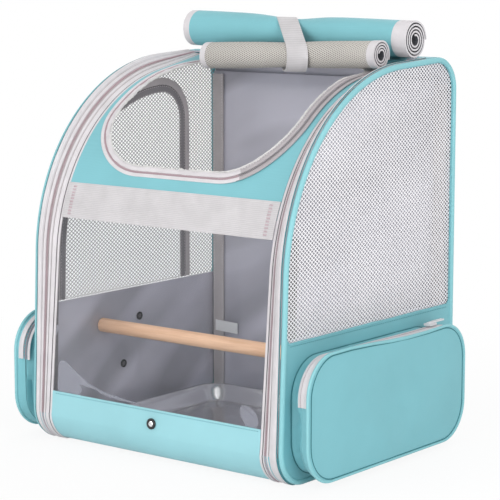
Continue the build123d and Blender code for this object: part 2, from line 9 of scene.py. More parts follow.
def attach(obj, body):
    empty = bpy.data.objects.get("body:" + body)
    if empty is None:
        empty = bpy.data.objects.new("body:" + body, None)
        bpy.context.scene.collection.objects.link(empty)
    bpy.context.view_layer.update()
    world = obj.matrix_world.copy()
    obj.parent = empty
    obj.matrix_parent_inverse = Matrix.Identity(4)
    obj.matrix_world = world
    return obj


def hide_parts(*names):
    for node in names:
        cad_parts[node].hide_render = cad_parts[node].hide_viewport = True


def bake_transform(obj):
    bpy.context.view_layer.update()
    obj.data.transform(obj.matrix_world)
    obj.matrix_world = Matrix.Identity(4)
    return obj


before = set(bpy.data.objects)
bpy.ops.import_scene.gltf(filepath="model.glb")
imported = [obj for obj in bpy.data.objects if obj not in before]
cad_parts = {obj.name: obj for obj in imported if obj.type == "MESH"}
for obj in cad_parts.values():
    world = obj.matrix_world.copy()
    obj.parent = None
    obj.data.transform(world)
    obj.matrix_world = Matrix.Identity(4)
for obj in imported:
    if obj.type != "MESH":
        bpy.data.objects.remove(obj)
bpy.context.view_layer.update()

bl_info = {
    "name": "Bird carrier looks",
    "version": (1, 0, 0),
    "blender": (4, 5, 0),
    "location": "View3D > Sidebar > Carrier",
    "description": "Dresses the packed bird carrier in cloth, net, webbing, zips and metal",
    "category": "Add Mesh",
}

MM = 0.001
SIDES = {"left": -1, "right": 1}

# ---- places in millimetres ---------------------------------------------------------------
HALF_WIDTH = 160.0
BACK = 150.0
SHELL = dict(front=-150.0, lean=0.040, top=391.1, slope=0.056, shoulder=202.0)
DOOR = dict(front=-150.7, lean=0.085, top=374.0, slope=0.20, shoulder=200.0)
FOOT_RADIUS, HEEL_RADIUS, REAR_RADIUS = 36.0, 18.0, 34.0
DOOR_HALF = 136.0
COIL_OUT = 142.4
TAPE_OUT = 155.5
ZIP_MIDDLE = {"left": 148.6, "right": 142.9}
ZIP_EDGE = 157.2
ZIP_POINTS = 170
DOOR_REAR = 98.0
FOLD = 34.15
BAND_TOP, BELT_LOW, BELT_HIGH = 56.0, 235.0, 270.0
OPENING_TILT = math.radians(38.3)
OPENING_MIDDLE = (-47.0, 329.0)
EYELETS = [(-47.3, 108.0), (13.5, 109.0), (-13.3, 60.0)]
NET_X, LINING_X, SIDE_CLOTH_X = 158.3, 157.4, 161.0
TOP_HALF = 157.4
ARCH_LOW = 143.3
COVER = dict(axis=(88.0, 418.7), tilt=-0.0204, ends=(-139.0, 151.0), hems=(8, 17), core=5.0,
             outer=19.8, turns=4.3, end_angle=0, pitch=3.44, waist=0.22, tie=0.0, seed=1.0,
             columns=(60, 5))
SCREEN = dict(axis=(48.0, 396.9), tilt=0.0326, ends=(-87.0, 137.0), hems=(7, 9), core=4.6,
              outer=14.8, turns=3.5, end_angle=-20, pitch=2.91, waist=0.08, tie=22.0, seed=2.0,
              columns=(50, 4))
COVER_TAIL = [(107.0, 412), (105.0, 405), (100.6, 399), (95.4, 395.0), (91.5, 393.2)]
TIE_MIDDLE = -5.0
POINTS_PER_TURN = 26
FILM_FOLDS = {
    "left": [(-131, 98), (-123, 89), (-110, 81), (-91, 71), (-70, 61), (-46, 58), (-16, 58),
             (13, 55), (-131, 55)],
    "right": [(107, 73), (112, 76), (119, 75), (127, 71), (131, 64), (133, 55), (118, 55),
              (110, 64)],
}
POCKET_MIDDLE = (-9.0, 68.0)
POCKET_X, POCKET_DEPTH = 161.2, 29.8
POCKET_SAG = ((-145, -112, -76, -40, -10, 20, 58, 96, 127),
              (0, 0.9, 1.2, -0.2, -2.1, -3.2, -3.1, -1.9, 0))
ZIP_SAG = ((-145, -112, -84, -40, -10, 20, 58, 96, 127),
           (0, -1.8, -2.4, -2.4, -2.6, -3.2, -3.1, -1.9, 0))
PAD_SEAMS, PAD_CHANNELS = (-52.0, 52.0), (95.0, 165.0, 235.0, 300.0)
PAD_STITCH_Y = 148.5
STRAP_CHANNELS = (160.0, 205.0, 250.0, 295.0)
STRAP_MIDDLE = 155.8
YOKE_X, HANDLE_X, HANDLE_Y = 82, 42, 157.8
STRAP_EDGES = {"inner": ((345.0, 55.0), (240.0, 63.1), (122.0, 83.5)),
               "outer": ((345.0, 109.0), (240.0, 113.05), (122.0, 124.5))}

# ---- places in metres ------------------------------------------------------------------
# The bodies, start and end of the blend across the door's fold.
DOOR_BLEND = ("shell", "front_door", (0, -0.1487, 0.030), (0, -0.1487, 0.038))
# A point inside the carrier, which the sheets of the front and the bottom face away from.
CORE_POINT = (0, 0, 0.1)
# X from which the opening's binding lies in shade.
OPENING_SHADE_X = 0.078
# Y of the back pad's middle, inner and outer sides, and of the strap pads' inner side.
PAD_MIDDLE, PAD_INNER, PAD_OUTER, STRAP_INNER = 0.1466, 0.1441, 0.1500, 0.1504


# ---- values that a user would change -----------------------------------------------
def colour_property(name, description, shade):
    return bpy.props.FloatVectorProperty(name=name, description=description, subtype="COLOR",
                                         size=3, min=0, max=1, default=linear(shade))


def length_property(name, description, value):
    return bpy.props.FloatProperty(name=name, description=description, default=value * MM,
                                   unit="LENGTH", min=0)


def linear(shade):
    """A screen colour, 0 to 255, as the linear numbers that shaders take."""
    parts = [c / 255 for c in shade]
    return tuple(c / 12.92 if c <= 0.04045 else ((c + 0.055) / 1.055) ** 2.4 for c in parts)


class CarrierColours(bpy.types.PropertyGroup):
    teal: colour_property("Teal", "Main cloth", (120, 184, 193))
    piping: colour_property("Piping", "Bias cloth on the edge pipings", (136, 196, 203))
    # Paler than the teal: partly the band's own smoother cloth, partly painted sheen of its glare.
    band: colour_property("Front band", "Smooth cloth of the front band", (150, 204, 212))
    tape: colour_property("Tape", "Zip tapes and bindings", (217, 213, 216))
    coil: colour_property("Coil", "Zip teeth", (186, 160, 168))
    belt: colour_property("Belt", "Ribbed crossband and tie strap", (200, 197, 199))
    net: colour_property("Net", "Knitted net of the sides", (250, 248, 252))
    # Painted shade: the same net, darker on its inner faces, which lie in shade.
    net_inside: colour_property("Net inside", "Inner face of the net", (146, 145, 150))
    screen: colour_property("Screen", "Rolled net curtain", (197, 193, 187))
    lining: colour_property("Lining", "Satin lining inside", (192, 190, 201))
    binding: colour_property("Inner tape", "Tapes inside and on the arch door", (196, 189, 190))
    # Painted shade: a darker grey for tapes and teeth that lie in shade.
    grey_edge: colour_property("Grey edge", "Shaded bindings and arch door tape", (140, 136, 139))
    webbing: colour_property("Webbing", "Straps and handle", (84, 86, 92))
    black: colour_property("Black plastic", "Buckles and thumb screws", (24, 24, 26))
    steel: colour_property("Steel", "Tray", (226, 226, 228))
    wood: colour_property("Wood", "Perch", (255, 209, 174))
    thread: colour_property("Thread", "Stitches on the teal cloth", (70, 140, 150))


class CarrierSizes(bpy.types.PropertyGroup):
    cloth: length_property("Cloth", "Thickness of the teal cloth as shown", 1.4)
    piping: length_property("Piping radius", "Radius of the edge piping", 2.8)
    net_width: length_property("Net cell width", "Width of one diamond of the net", 5.5)
    net_height: length_property("Net cell height", "Height of one diamond of the net", 4.15)
    net_thread: length_property("Net thread", "Half the width of the net's threads", 0.49)
    stitch: length_property("Stitch pitch", "From one stitch to the next", 3.2)
    tooth: length_property("Tooth pitch", "From one zip tooth to the next", 1.9)
    wrinkle: length_property("Wrinkle depth", "How far the lining's folds stand up", 3.4)
    floor: bpy.props.FloatProperty(name="Floor size", description="Side of the floor",
                                   default=6.0, unit="LENGTH", min=1)


def colours():
    return bpy.context.scene.carrier_colours


def sizes():
    return bpy.context.scene.carrier_sizes


# ---- outlines, as lists of (a, b) in millimetres -------------------------------------
def meet(p, u, q, v):
    """Point where the line p + s*u crosses the line q + t*v."""
    det = u[0] * v[1] - u[1] * v[0]
    s = ((q[0] - p[0]) * v[1] - (q[1] - p[1]) * v[0]) / det
    return (p[0] + s * u[0], p[1] + s * u[1])


def rounded_path(corners, radii, step=6.0, close=True):
    """The corners joined by lines and arcs, with a point every step or so."""
    count = len(corners)
    out = []
    for i, corner in enumerate(corners):
        here = Vector(corner)
        if (not close and i in (0, count - 1)) or radii[i] <= 0:
            out.append(here)
            continue
        before = (Vector(corners[i - 1]) - here).normalized()
        after = (Vector(corners[(i + 1) % count]) - here).normalized()
        half = before.angle(after) / 2
        reach = radii[i] / math.tan(half)
        middle = here + (before + after).normalized() * radii[i] / math.sin(half)
        start, end = here + before * reach - middle, here + after * reach - middle
        turn = start.angle_signed(end)
        parts = max(2, math.ceil(abs(turn) * radii[i] / step))
        for k in range(parts + 1):
            angle = -turn * k / parts
            out.append(middle + Vector((start.x * math.cos(angle) - start.y * math.sin(angle),
                                        start.x * math.sin(angle) + start.y * math.cos(angle))))
    return spaced(out, step, close)


def spaced(points, step, close=True):
    """The same line with its long runs divided."""
    out = []
    ends = points[1:] + ([points[0]] if close else [])
    for a, b in zip(points, ends):
        parts = max(1, math.ceil((b - a).length / step - 0.2))
        out += [a.lerp(b, k / parts) for k in range(parts)]
    if not close:
        out.append(points[-1])
    return out


def d_corners(inset, kind=SHELL, bottom=None, back=None):
    front = (kind["front"] + inset * math.hypot(1, kind["lean"]), 0.0)
    top = (0.0, kind["top"] - inset * math.hypot(1, kind["slope"]))
    bottom = inset if bottom is None else bottom
    back = BACK - inset if back is None else back
    return [meet(front, (kind["lean"], 1), (0, bottom), (1, 0)), (back, bottom),
            meet((back, 0), (0, 1), top, (1, kind["slope"])),
            meet(front, (kind["lean"], 1), top, (1, kind["slope"]))]


def d_outline(inset, bottom=None, radii=None, step=6.0):
    """The carrier's side outline, drawn inside the edge by the inset."""
    foot, heel, rear = radii or (FOOT_RADIUS - inset, HEEL_RADIUS - inset, REAR_RADIUS - inset)
    return rounded_path(d_corners(inset, bottom=bottom),
                        [foot, heel, rear, SHELL["shoulder"] - inset], step)


def arch_outline(inset, step=6.0):
    """The zipped arch of the left side."""
    corners = d_corners(34 + inset, bottom=ARCH_LOW, back=93 - inset)
    return rounded_path(corners, [0, 0, 38 - inset, SHELL["shoulder"] - 34 - inset], step)


def front_path(low, rear, kind=DOOR, step=5.0):
    """The front's side view from a height on the front up and over to a depth on the top."""
    front = kind["front"] + kind["lean"] * low
    top = kind["top"] + kind["slope"] * rear
    return rounded_path([(front, low), d_corners(0.0, kind)[3], (rear, top)],
                        [0, kind["shoulder"], 0], step, close=False)


def cut_path(path, low=None, high=None):
    """The part of a front path between two heights, its ends cut square."""
    out = []
    for a, b in zip(path, path[1:]):
        for limit in (low, high):
            if limit is not None and (a.y - limit) * (b.y - limit) < 0:
                out.append(a.lerp(b, (limit - a.y) / (b.y - a.y)))
        if (low is None or b.y >= low) and (high is None or b.y <= high):
            out.append(b)
    first = path[0]
    if (low is None or first.y >= low) and (high is None or first.y <= high):
        out.insert(0, first)
    return out


def yz(points, x):
    """Side-view points stood up at x, in metres."""
    return [Vector((x, p[0], p[1])) * MM for p in points]


def directions(points, close=False):
    """The way a path runs at each of its points."""
    out = []
    for i, p in enumerate(points):
        a = points[i - 1] if close or i > 0 else p
        b = points[(i + 1) % len(points)] if close or i < len(points) - 1 else p
        out.append((b - a).normalized())
    return out


def normals_along(points):
    """Normals in the side view, outwards for a path up the front and back over the top."""
    return [Vector((0, -run.z, run.y)) for run in directions(points)]


def all_along(normals, points):
    """A normal for each point: a list is taken as it is, a single normal stands for them all."""
    return normals if isinstance(normals, list) else [Vector(normals)] * len(points)


def run_lengths(line):
    """How far along the line each of its points lies."""
    return np.cumsum([0] + [(b - a).length for a, b in zip(line, line[1:])])


def open_run(points, low):
    """The part of a closed outline above a height, in order from one end to the other."""
    high = [p for p in points if p[-1] > low]
    start = max(range(len(high)), key=lambda i: (high[i] - high[i - 1]).length)
    return high[start:] + high[:start]


# ---- modelling by hand ----------------------------------------------------------------
def pick(piece):
    """Makes one piece the only selected one, and the active one."""
    bpy.ops.object.select_all(action="DESELECT")
    piece.select_set(True)
    bpy.context.view_layer.objects.active = piece


class shaping:
    """Opens one piece in edit mode with everything selected, and closes it again."""

    def __init__(self, piece):
        self.piece = piece

    def __enter__(self):
        pick(self.piece)
        bpy.ops.object.mode_set(mode="EDIT")
        bpy.ops.mesh.select_all(action="SELECT")

    def __exit__(self, *trouble):
        bpy.ops.object.mode_set(mode="OBJECT")


def settle(piece):
    """Puts the piece's place into its mesh."""
    pick(piece)
    bpy.ops.object.transform_apply(location=True, rotation=True, scale=True)
    return piece


def start_piece(name, kind, scale=None, turn=None, **how):
    """A primitive with its size, turn and place put into its mesh."""
    bpy.ops.object.select_all(action="DESELECT")
    getattr(bpy.ops.mesh, f"primitive_{kind}_add")(**how)
    piece = bpy.context.active_object
    piece.name = piece.data.name = name
    if scale:
        piece.scale = scale
    if turn:
        piece.rotation_euler = turn
    return settle(piece)


def modify(piece, kind, **values):
    pick(piece)
    made = piece.modifiers.new(kind, kind)
    for key, value in values.items():
        setattr(made, key, value)
    bpy.ops.object.modifier_apply(modifier=made.name)
    return piece


def bevel(piece, width, segments):
    return modify(piece, "BEVEL", width=width * MM, segments=segments, limit_method="ANGLE")


def thicken(piece, thickness, offset=-1.0):
    return modify(piece, "SOLIDIFY", thickness=thickness, offset=offset, use_even_offset=True)


def smooth(piece, angle=35):
    pick(piece)
    bpy.ops.object.shade_smooth_by_angle(angle=math.radians(angle))
    return piece


def face_out():
    """Turns every face of a closed piece outwards, in edit mode."""
    bpy.ops.mesh.select_all(action="SELECT")
    bpy.ops.mesh.normals_make_consistent(inside=False)


def merge_all(threshold):
    bpy.ops.mesh.select_all(action="SELECT")
    bpy.ops.mesh.remove_doubles(threshold=threshold)


def move_selected(piece, move):
    """Puts each selected point where move(place) says, in edit mode."""
    mesh = bmesh.from_edit_mesh(piece.data)
    for v in mesh.verts:
        if v.select:
            v.co = move(v.co)
    bmesh.update_edit_mesh(piece.data)


def lay_selected(piece, old, new):
    """Moves each selected point from its old place to its new one."""
    def key(place):
        return tuple(round(c * 1e6) for c in place)

    table = {key(a): b for a, b in zip(old, new)}
    move_selected(piece, lambda place: table[key(place)] if key(place) in table else
                  new[min(range(len(old)), key=lambda i: (old[i] - place).length)])


def choose_faces(piece, test):
    """Selects the faces that pass the test, in edit mode."""
    bpy.ops.mesh.select_mode(type="FACE")
    bpy.ops.mesh.select_all(action="DESELECT")
    mesh = bmesh.from_edit_mesh(piece.data)
    for face in mesh.faces:
        face.select = test(face)
    mesh.select_flush_mode()
    bmesh.update_edit_mesh(piece.data)


def draw_line(name, points, close=False):
    """A chain of edges, drawn by extruding one point from place to place."""
    piece = start_piece(name, "plane", size=MM, location=points[0])
    with shaping(piece):
        bpy.ops.mesh.merge(type="CENTER")
        for a, b in zip(points, points[1:] + ([points[0]] if close else [])):
            bpy.ops.mesh.extrude_vertices_move(TRANSFORM_OT_translate={"value": b - a})
        if close:
            merge_all(1e-6)
    return piece


def sheet_from(name, line, x, width, columns):
    """A side-view line stood up at x and extruded sideways, column by column."""
    piece = draw_line(name, yz(line, x))
    with shaping(piece):
        for _ in range(columns):
            bpy.ops.mesh.extrude_edges_move(
                TRANSFORM_OT_translate={"value": Vector((width / columns, 0, 0)) * MM})
    return piece


def rows_sheet(name, rows, close=False, fill=False):
    """A sheet drawn as its first row, then extruded row by row to set places."""
    piece = draw_line(name, rows[0], close)
    with shaping(piece):
        for old, new in zip(rows, rows[1:]):
            bpy.ops.mesh.extrude_edges_move()
            lay_selected(piece, old, new)
        if fill:
            bpy.ops.mesh.edge_face_add()
            face_out()
    return piece


def solid_from(name, points, move):
    """A closed line filled, and made a solid by moving the fill."""
    piece = draw_line(name, points, close=True)
    with shaping(piece):
        bpy.ops.mesh.edge_face_add()
        bpy.ops.mesh.extrude_region_move(TRANSFORM_OT_translate={"value": move})
        face_out()
    return piece


def sweep(name, section, points, normals, close=False):
    """A section drawn at a path's start, then extruded from place to place along it."""
    places = places_along(points, normals, close)
    piece = draw_line(name, [places[0] @ Vector((a, b, 0)) for a, b in section], close=True)
    with shaping(piece):
        for old, new in zip(places, places[1:] + ([places[0]] if close else [])):
            step = new @ old.inverted()
            bpy.ops.mesh.extrude_edges_move()
            move_selected(piece, lambda place: step @ place)
        bpy.ops.mesh.select_all(action="SELECT")
        if close:
            bpy.ops.mesh.remove_doubles(threshold=1e-6)
        else:
            bpy.ops.mesh.fill_holes(sides=0)
        face_out()
    return piece


def places_along(points, normals, close=False):
    """A matrix at each point: X across the path, Y off the surface, Z along the path."""
    out = []
    for p, n, run in zip(points, all_along(normals, points), directions(points, close)):
        across = run.cross(n).normalized()
        up = across.cross(run).normalized() * -1
        up = up if up.dot(n) > 0 else -up
        out.append(Matrix((across, up, across.cross(up))).transposed().to_4x4())
        out[-1].translation = p
    return out


def march(points, normals, step, close=False):
    """Places every step along a path."""
    normals = all_along(normals, points)
    line = points + ([points[0]] if close else [])
    hats = normals + ([normals[0]] if close else [])
    runs = run_lengths(line)
    out_points, out_normals = [], []
    for s in np.arange(step / 2, runs[-1], step):
        i = min(int(np.searchsorted(runs, s, side="right")) - 1, len(line) - 2)
        t = (s - runs[i]) / max(runs[i + 1] - runs[i], 1e-12)
        out_points.append(line[i].lerp(line[i + 1], t))
        out_normals.append(hats[i].lerp(hats[i + 1], t).normalized())
    return places_along(out_points, out_normals)


def copies(name, model, places):
    """One mesh of many copies of a small model, which is then removed."""
    co = np.array([v.co for v in model.data.vertices], float)
    faces = [tuple(p.vertices) for p in model.data.polygons]
    points, polygons = [], []
    for i, place in enumerate(places):
        m = np.array(place)
        points.append(co @ m[:3, :3].T + m[:3, 3])
        polygons += [tuple(k + i * len(co) for k in face) for face in faces]
    mesh = bpy.data.meshes.new(name)
    mesh.from_pydata(np.concatenate(points).tolist(), [], polygons)
    piece = bpy.data.objects.new(name, mesh)
    bpy.context.scene.collection.objects.link(piece)
    bpy.data.objects.remove(model)
    return smooth(piece)


def face_away(piece, centre):
    """Turns an open sheet's faces away from a point."""
    centre = Vector(centre)
    with shaping(piece):
        bpy.ops.mesh.normals_make_consistent(inside=False)
        mesh = bmesh.from_edit_mesh(piece.data)
        mesh.normal_update()
        score = sum((f.calc_center_median() - centre).dot(f.normal) * f.calc_area()
                    for f in mesh.faces)
        if score < 0:
            bpy.ops.mesh.select_all(action="SELECT")
            bpy.ops.mesh.flip_normals()
    return piece


def ripple(point, size, seed):
    """Smooth noise, about -1 to 1."""
    return 1.6 * noise.noise(Vector(point) / size + Vector((seed * 7.3, seed * 3.1, seed * 5.7)))


def crumple(piece, depth, size, seed=0.0, axis=None, keep=None, stretch=(1, 1, 1), lean=0.0):
    """Pushes cloth in and out along its normals or an axis, by keep(point) times the depth."""
    mesh = piece.data
    mesh.update()
    co = [v.co.copy() for v in mesh.vertices]
    normals = [Vector(axis)] * len(co) if axis else [v.normal.copy() for v in mesh.vertices]
    for v, p, n in zip(mesh.vertices, co, normals):
        spot = Vector((p.x * stretch[0], p.y * stretch[1], p.z * stretch[2]))
        broad = ripple(spot, size, seed)
        fine = ripple(spot, size * 0.43, seed + 1)
        share = keep(p) if keep else 1.0
        v.co = p + n * depth * share * (0.72 * broad + 0.28 * fine + lean)
    mesh.update()
    return piece


def make_cloth(sheet, away, thickness, offset=-1.0, **folds):
    """Turns a sheet's faces away from a point, crumples it, and gives it its thickness."""
    face_away(sheet, away)
    if folds:
        crumple(sheet, **folds)
    return thicken(sheet, thickness, offset)


def near(value, edge, width):
    """0 at an edge, growing smoothly to 1 at a width from it."""
    t = min(1.0, max(0.0, abs(value - edge) / width))
    return t * t * (3 - 2 * t)


def off_sides(p, width, half=DOOR_HALF * MM):
    """0 at both side edges of a sheet, growing to 1 at a width from them."""
    return near(p.x, half, width) * near(p.x, -half, width)


def inside(point, outline):
    y, z = point
    hit = False
    for a, b in zip(outline, outline[1:] + outline[:1]):
        if (a[1] > z) != (b[1] > z) and y < (b[0] - a[0]) * (z - a[1]) / (b[1] - a[1]) + a[0]:
            hit = not hit
    return hit


def trim(piece, outline, x):
    """Cuts a flat sheet that stands at x down to an outline that bulges outwards."""
    middle = sum((Vector(p) for p in outline), Vector((0, 0))) / len(outline)
    with shaping(piece):
        for a, b in zip(outline, outline[1:] + outline[:1]):
            run = Vector(b) - Vector(a)
            if run.length < 1e-6:
                continue
            out = Vector((run.y, -run.x)).normalized()
            if out.dot(Vector(a) - middle) < 0:
                out = -out
            bpy.ops.mesh.select_all(action="SELECT")
            bpy.ops.mesh.bisect(plane_co=Vector((x, a[0], a[1])) * MM,
                                plane_no=(0, out.x, out.y), clear_outer=True)
        merge_all(2e-5)
    return piece


def grid_sheet(name, wide, tall, columns, rows, middle, turn=(math.pi / 2, 0, 0)):
    """A cloth sheet of small squares that stands on a plane, y unless it is turned to x."""
    return start_piece(name, "grid", (wide, tall, 1), turn, x_subdivisions=columns,
                       y_subdivisions=rows, size=MM, location=Vector(middle) * MM)


def flat_sheet(name, outline, x, cell=5.0):
    """A cloth sheet of small squares on the plane x, cut to an outline."""
    low = [min(p[i] for p in outline) for i in (0, 1)]
    high = [max(p[i] for p in outline) for i in (0, 1)]
    wide, tall = [h - l + 2 for h, l in zip(high, low)]
    middle = (x, (low[0] + high[0]) / 2, (low[1] + high[1]) / 2)
    piece = grid_sheet(name, wide, tall, math.ceil(wide / cell), math.ceil(tall / cell), middle,
                       (math.pi / 2, 0, math.pi / 2))
    return trim(piece, outline, x)


def wall_sheet(name, x0, x1, z0, z1, y, cell=5.0):
    """A cloth sheet of small squares on the plane y."""
    wide, tall = x1 - x0, z1 - z0
    return grid_sheet(name, wide, tall, math.ceil(wide / cell), math.ceil(tall / cell),
                      ((x0 + x1) / 2, y, (z0 + z1) / 2))


def rounded_strip(half, thick, corner, parts=3):
    """Section of a flat tape: half its width, half its thickness and its corner radius, in mm."""
    out = []
    for x, y, start in ((1, 1, 0), (-1, 1, 90), (-1, -1, 180), (1, -1, 270)):
        for k in range(parts + 1):
            a = math.radians(start + 90 * k / parts)
            out.append(((x * (half - corner) + corner * math.cos(a)) * MM,
                        (y * (thick - corner) + corner * math.sin(a)) * MM))
    return out


def circle_section(radius, parts=12):
    turns = [math.tau * k / parts for k in range(parts)]
    return [(radius * math.cos(a) * MM, radius * math.sin(a) * MM) for a in turns]


def stitches(name, points, normals, body, finish="thread", close=False, across=0.0):
    """A row of stitches that lie on a surface along a path."""
    pitch = sizes().stitch
    model = start_piece(name + "_model", "uv_sphere", (0.42, 0.34, pitch / MM * 0.36), segments=6,
                        ring_count=4, radius=MM)
    places = [m @ Matrix.Translation((across, 0, 0)) for m in march(points, normals, pitch, close)]
    return finish_off(copies(name, model, places), body, finish, angle=None)


def teeth(name, points, normals, width, body, finish="coil", close=False):
    """Two rows of zip teeth that mesh along a path."""
    pitch = sizes().tooth
    model = start_piece(name + "_model", "cube", (width * 0.62, 1.3, pitch / MM * 0.36), size=MM)
    with shaping(model):
        bpy.ops.mesh.bevel(offset=0.28 * MM, segments=1, affect="EDGES")
    places = []
    for i, m in enumerate(march(points, normals, pitch / 2, close)):
        places.append(m @ Matrix.Translation(((0.19 if i % 2 else -0.19) * width * MM, 0, 0)))
    return finish_off(copies(name, model, places), body, finish, angle=None)


def dress(piece, finish):
    """Gives the piece its material, and the record's slot if it has one."""
    piece.data.materials.clear()
    piece.data.materials.append(bpy.data.materials[finish])
    return piece


def second_finish(piece, finish, test):
    """A second material on the faces that the test picks by their centre and normal."""
    piece.data.materials.append(bpy.data.materials[finish])
    for face in piece.data.polygons:
        if test(face.center, face.normal):
            face.material_index = 1
    return piece


def finish_off(piece, body, finish, nodes=(), angle=35):
    """Smooths and dresses a piece, says which CAD nodes it replaces, and the body it rides.

    The body is a name, or the two bodies, start and end of a blend across a fold.
    """
    if angle:
        smooth(piece, angle)
    dress(piece, finish)
    if nodes:
        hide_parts(*([nodes] if isinstance(nodes, str) else nodes))
    if isinstance(body, str):
        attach(piece, body)
    else:
        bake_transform(piece)
    return piece


# ---- finishes --------------------------------------------------------------------------
class Nodes:
    """Adds shader nodes to one tree. An end is a number, a colour or a (node, output) pair."""

    def __init__(self, tree):
        self.tree = tree

    def feed(self, made, socket, end):
        if isinstance(end, tuple) and isinstance(end[0], bpy.types.Node):
            self.tree.links.new(end[0].outputs[end[1]], made.inputs[socket])
        else:
            made.inputs[socket].default_value = end

    def add(self, kind, **values):
        """A node; a value whose name is a socket's feeds that socket."""
        made = self.tree.nodes.new("ShaderNode" + kind)
        for key, value in values.items():
            socket = key.replace("_", " ")
            if socket in made.inputs:
                self.feed(made, socket, value)
            else:
                setattr(made, key, value)
        return made

    def maths(self, operation, *ends):
        made = self.add("Math", operation=operation)
        for i, end in enumerate(ends):
            self.feed(made, i, end)
        return made, 0

    def ramp(self, end, *stops):
        """A ramp of two stops, each a position and a colour."""
        made = self.add("ValToRGB", Fac=end)
        for element, (position, colour) in zip(made.color_ramp.elements, stops):
            element.position, element.color = position, (*colour, 1)
        return made, "Color"

    def tint(self, colour, shade, share=1.0):
        """The colour multiplied by a shade."""
        made = self.add("Mix", data_type="RGBA", blend_type="MULTIPLY")
        for socket, end in (("Factor", share), (6, colour), (7, shade)):
            self.feed(made, socket, end)
        return made, 2

    def bump(self, strength, distance, height, **under):
        return self.add("Bump", Strength=strength, Distance=distance * MM, Height=height,
                        **under), "Normal"

    def mix(self, share, *shaders):
        """Two shaders mixed, as the tree's surface."""
        made = self.add("MixShader")
        for i, end in enumerate((share, *((shader, 0) for shader in shaders))):
            self.feed(made, i, end)
        self.feed(self.tree.nodes["Material Output"], "Surface", (made, 0))

    def seen(self):
        """1 for rays that show the floor or sky itself, 0 for the light they cast."""
        path = self.add("LightPath")
        direct = self.maths("MAXIMUM", (path, "Is Camera Ray"), (path, "Is Glossy Ray"))
        return self.maths("MAXIMUM", direct, (path, "Is Transmission Ray"))


class Look(Nodes):
    """A material that is being built: its tree, its shader and its Object coordinates."""

    def __init__(self, name, colour, roughness, **sockets):
        made = bpy.data.materials.new(name)
        made.use_nodes = True
        super().__init__(made.node_tree)
        self.material = made
        self.shader = self.tree.nodes["Principled BSDF"]
        self.surface(Base_Color=(*colour, 1), Roughness=roughness, **sockets)
        self.object = (self.add("TexCoord"), "Object")

    def surface(self, **ends):
        for key, end in ends.items():
            self.feed(self.shader, key.replace("_", " "), end)

    def noise(self, scale, detail, vector=None, distortion=0.0):
        made = self.add("TexNoise", Scale=scale, Detail=detail, Distortion=distortion,
                        Vector=vector or self.object)
        return made, "Fac"

    def place(self, vector=None, **values):
        return self.add("Mapping", Vector=vector or self.object, **values), "Vector"

    def axes(self):
        split = self.add("SeparateXYZ", Vector=self.object)
        return [(split, axis) for axis in "XYZ"]

    def wave(self, end, pitch):
        """A sine along an axis, with a pitch in millimetres."""
        return self.maths("SINE", self.maths("MULTIPLY", end, math.tau / (pitch * MM)))

    def wander(self, colour, amount, scale):
        """The colour, a little paler and darker from place to place."""
        dark = [c * (1 - amount) for c in colour]
        light = [min(1.0, c * (1 + amount * 0.8)) for c in colour]
        return self.ramp(self.noise(scale, 3.0), (0.3, dark), (0.7, light))

    def weave(self, pitch):
        """Height of a plain weave that shows on any flat face: sines along X, Y and Z."""
        x, y, z = [self.wave(axis, pitch) for axis in self.axes()]
        total = self.maths("ADD", self.maths("MULTIPLY", x, y), self.maths("MULTIPLY", y, z))
        return self.maths("ADD", total, self.maths("MULTIPLY", z, x))


def cloth_finish(name, colour, pitch=0.9, weave=0.25, roughness=0.62, wander=0.05, crease=0.12,
                 **sockets):
    """Woven cloth: its threads, broad creases, and a colour that wanders."""
    look = Look(name, colour, roughness, **sockets)
    height = look.weave(pitch)
    # Painted shade: the weave's low places darkened in the colour.
    shade = look.ramp(look.maths("MULTIPLY_ADD", height, 0.4, 0.5), (0, [0.45] * 3), (1, [1] * 3))
    folds = look.noise(38.0, 4.0)
    soft = look.bump(crease, 2, folds)
    look.surface(Base_Color=look.tint(look.wander(colour, wander, 14.0), shade, 0.10),
                 Normal=look.bump(weave, 0.15, height, Normal=soft),
                 Roughness=look.maths("MULTIPLY_ADD", folds, 0.12, roughness - 0.06))


def screen_finish(name, colour):
    """Net rolled on its axis: staggered dark dots by the place along X and round the roll."""
    look = Look(name, colour, 0.75)
    x, y, z = look.axes()
    (axis_y, axis_z), tilt = SCREEN["axis"], SCREEN["tilt"]
    drop = look.maths("MULTIPLY_ADD", x, tilt, axis_z * MM - tilt * TIE_MIDDLE * MM)
    angle = look.maths("ARCTAN2", look.maths("SUBTRACT", z, drop),
                       look.maths("SUBTRACT", y, axis_y * MM))
    around = look.maths("SINE", look.maths("MULTIPLY", angle, 42.0))
    both = look.maths("MULTIPLY", around, look.wave(x, 4.6))
    # Painted shade: near-black dots where the holes show the shaded inside of the roll.
    shade = look.ramp(look.maths("MULTIPLY_ADD", both, 0.5, 0.5), (0.58, (1, 1, 1)),
                      (0.78, (0.16, 0.15, 0.14)))
    look.surface(Base_Color=look.tint(look.wander(colour, 0.06, 20.0), shade),
                 Normal=look.bump(0.6, 0.3, both))


def satin_finish(name, colour):
    """Satin lining: slanting folds that show as broad pale and dark streaks."""
    look = Look(name, colour, 0.36, Sheen_Weight=0.2)
    turned = look.place(Rotation=(math.radians(-36), math.radians(20), 0))
    folds = look.noise(1.0, 0.8, look.place(turned, Scale=(5.0, 5.0, 24.0)), 0.15)
    # Painted highlight and shade of the folds, in the colour.
    shade = look.ramp(folds, (0.38, [c * 0.74 for c in colour]),
                      (0.64, [min(1.0, c * 1.14) for c in colour]))
    soft = look.bump(0.55, 9, folds)
    look.surface(Base_Color=shade, Normal=look.bump(0.12, 0.15, look.weave(0.5), Normal=soft))


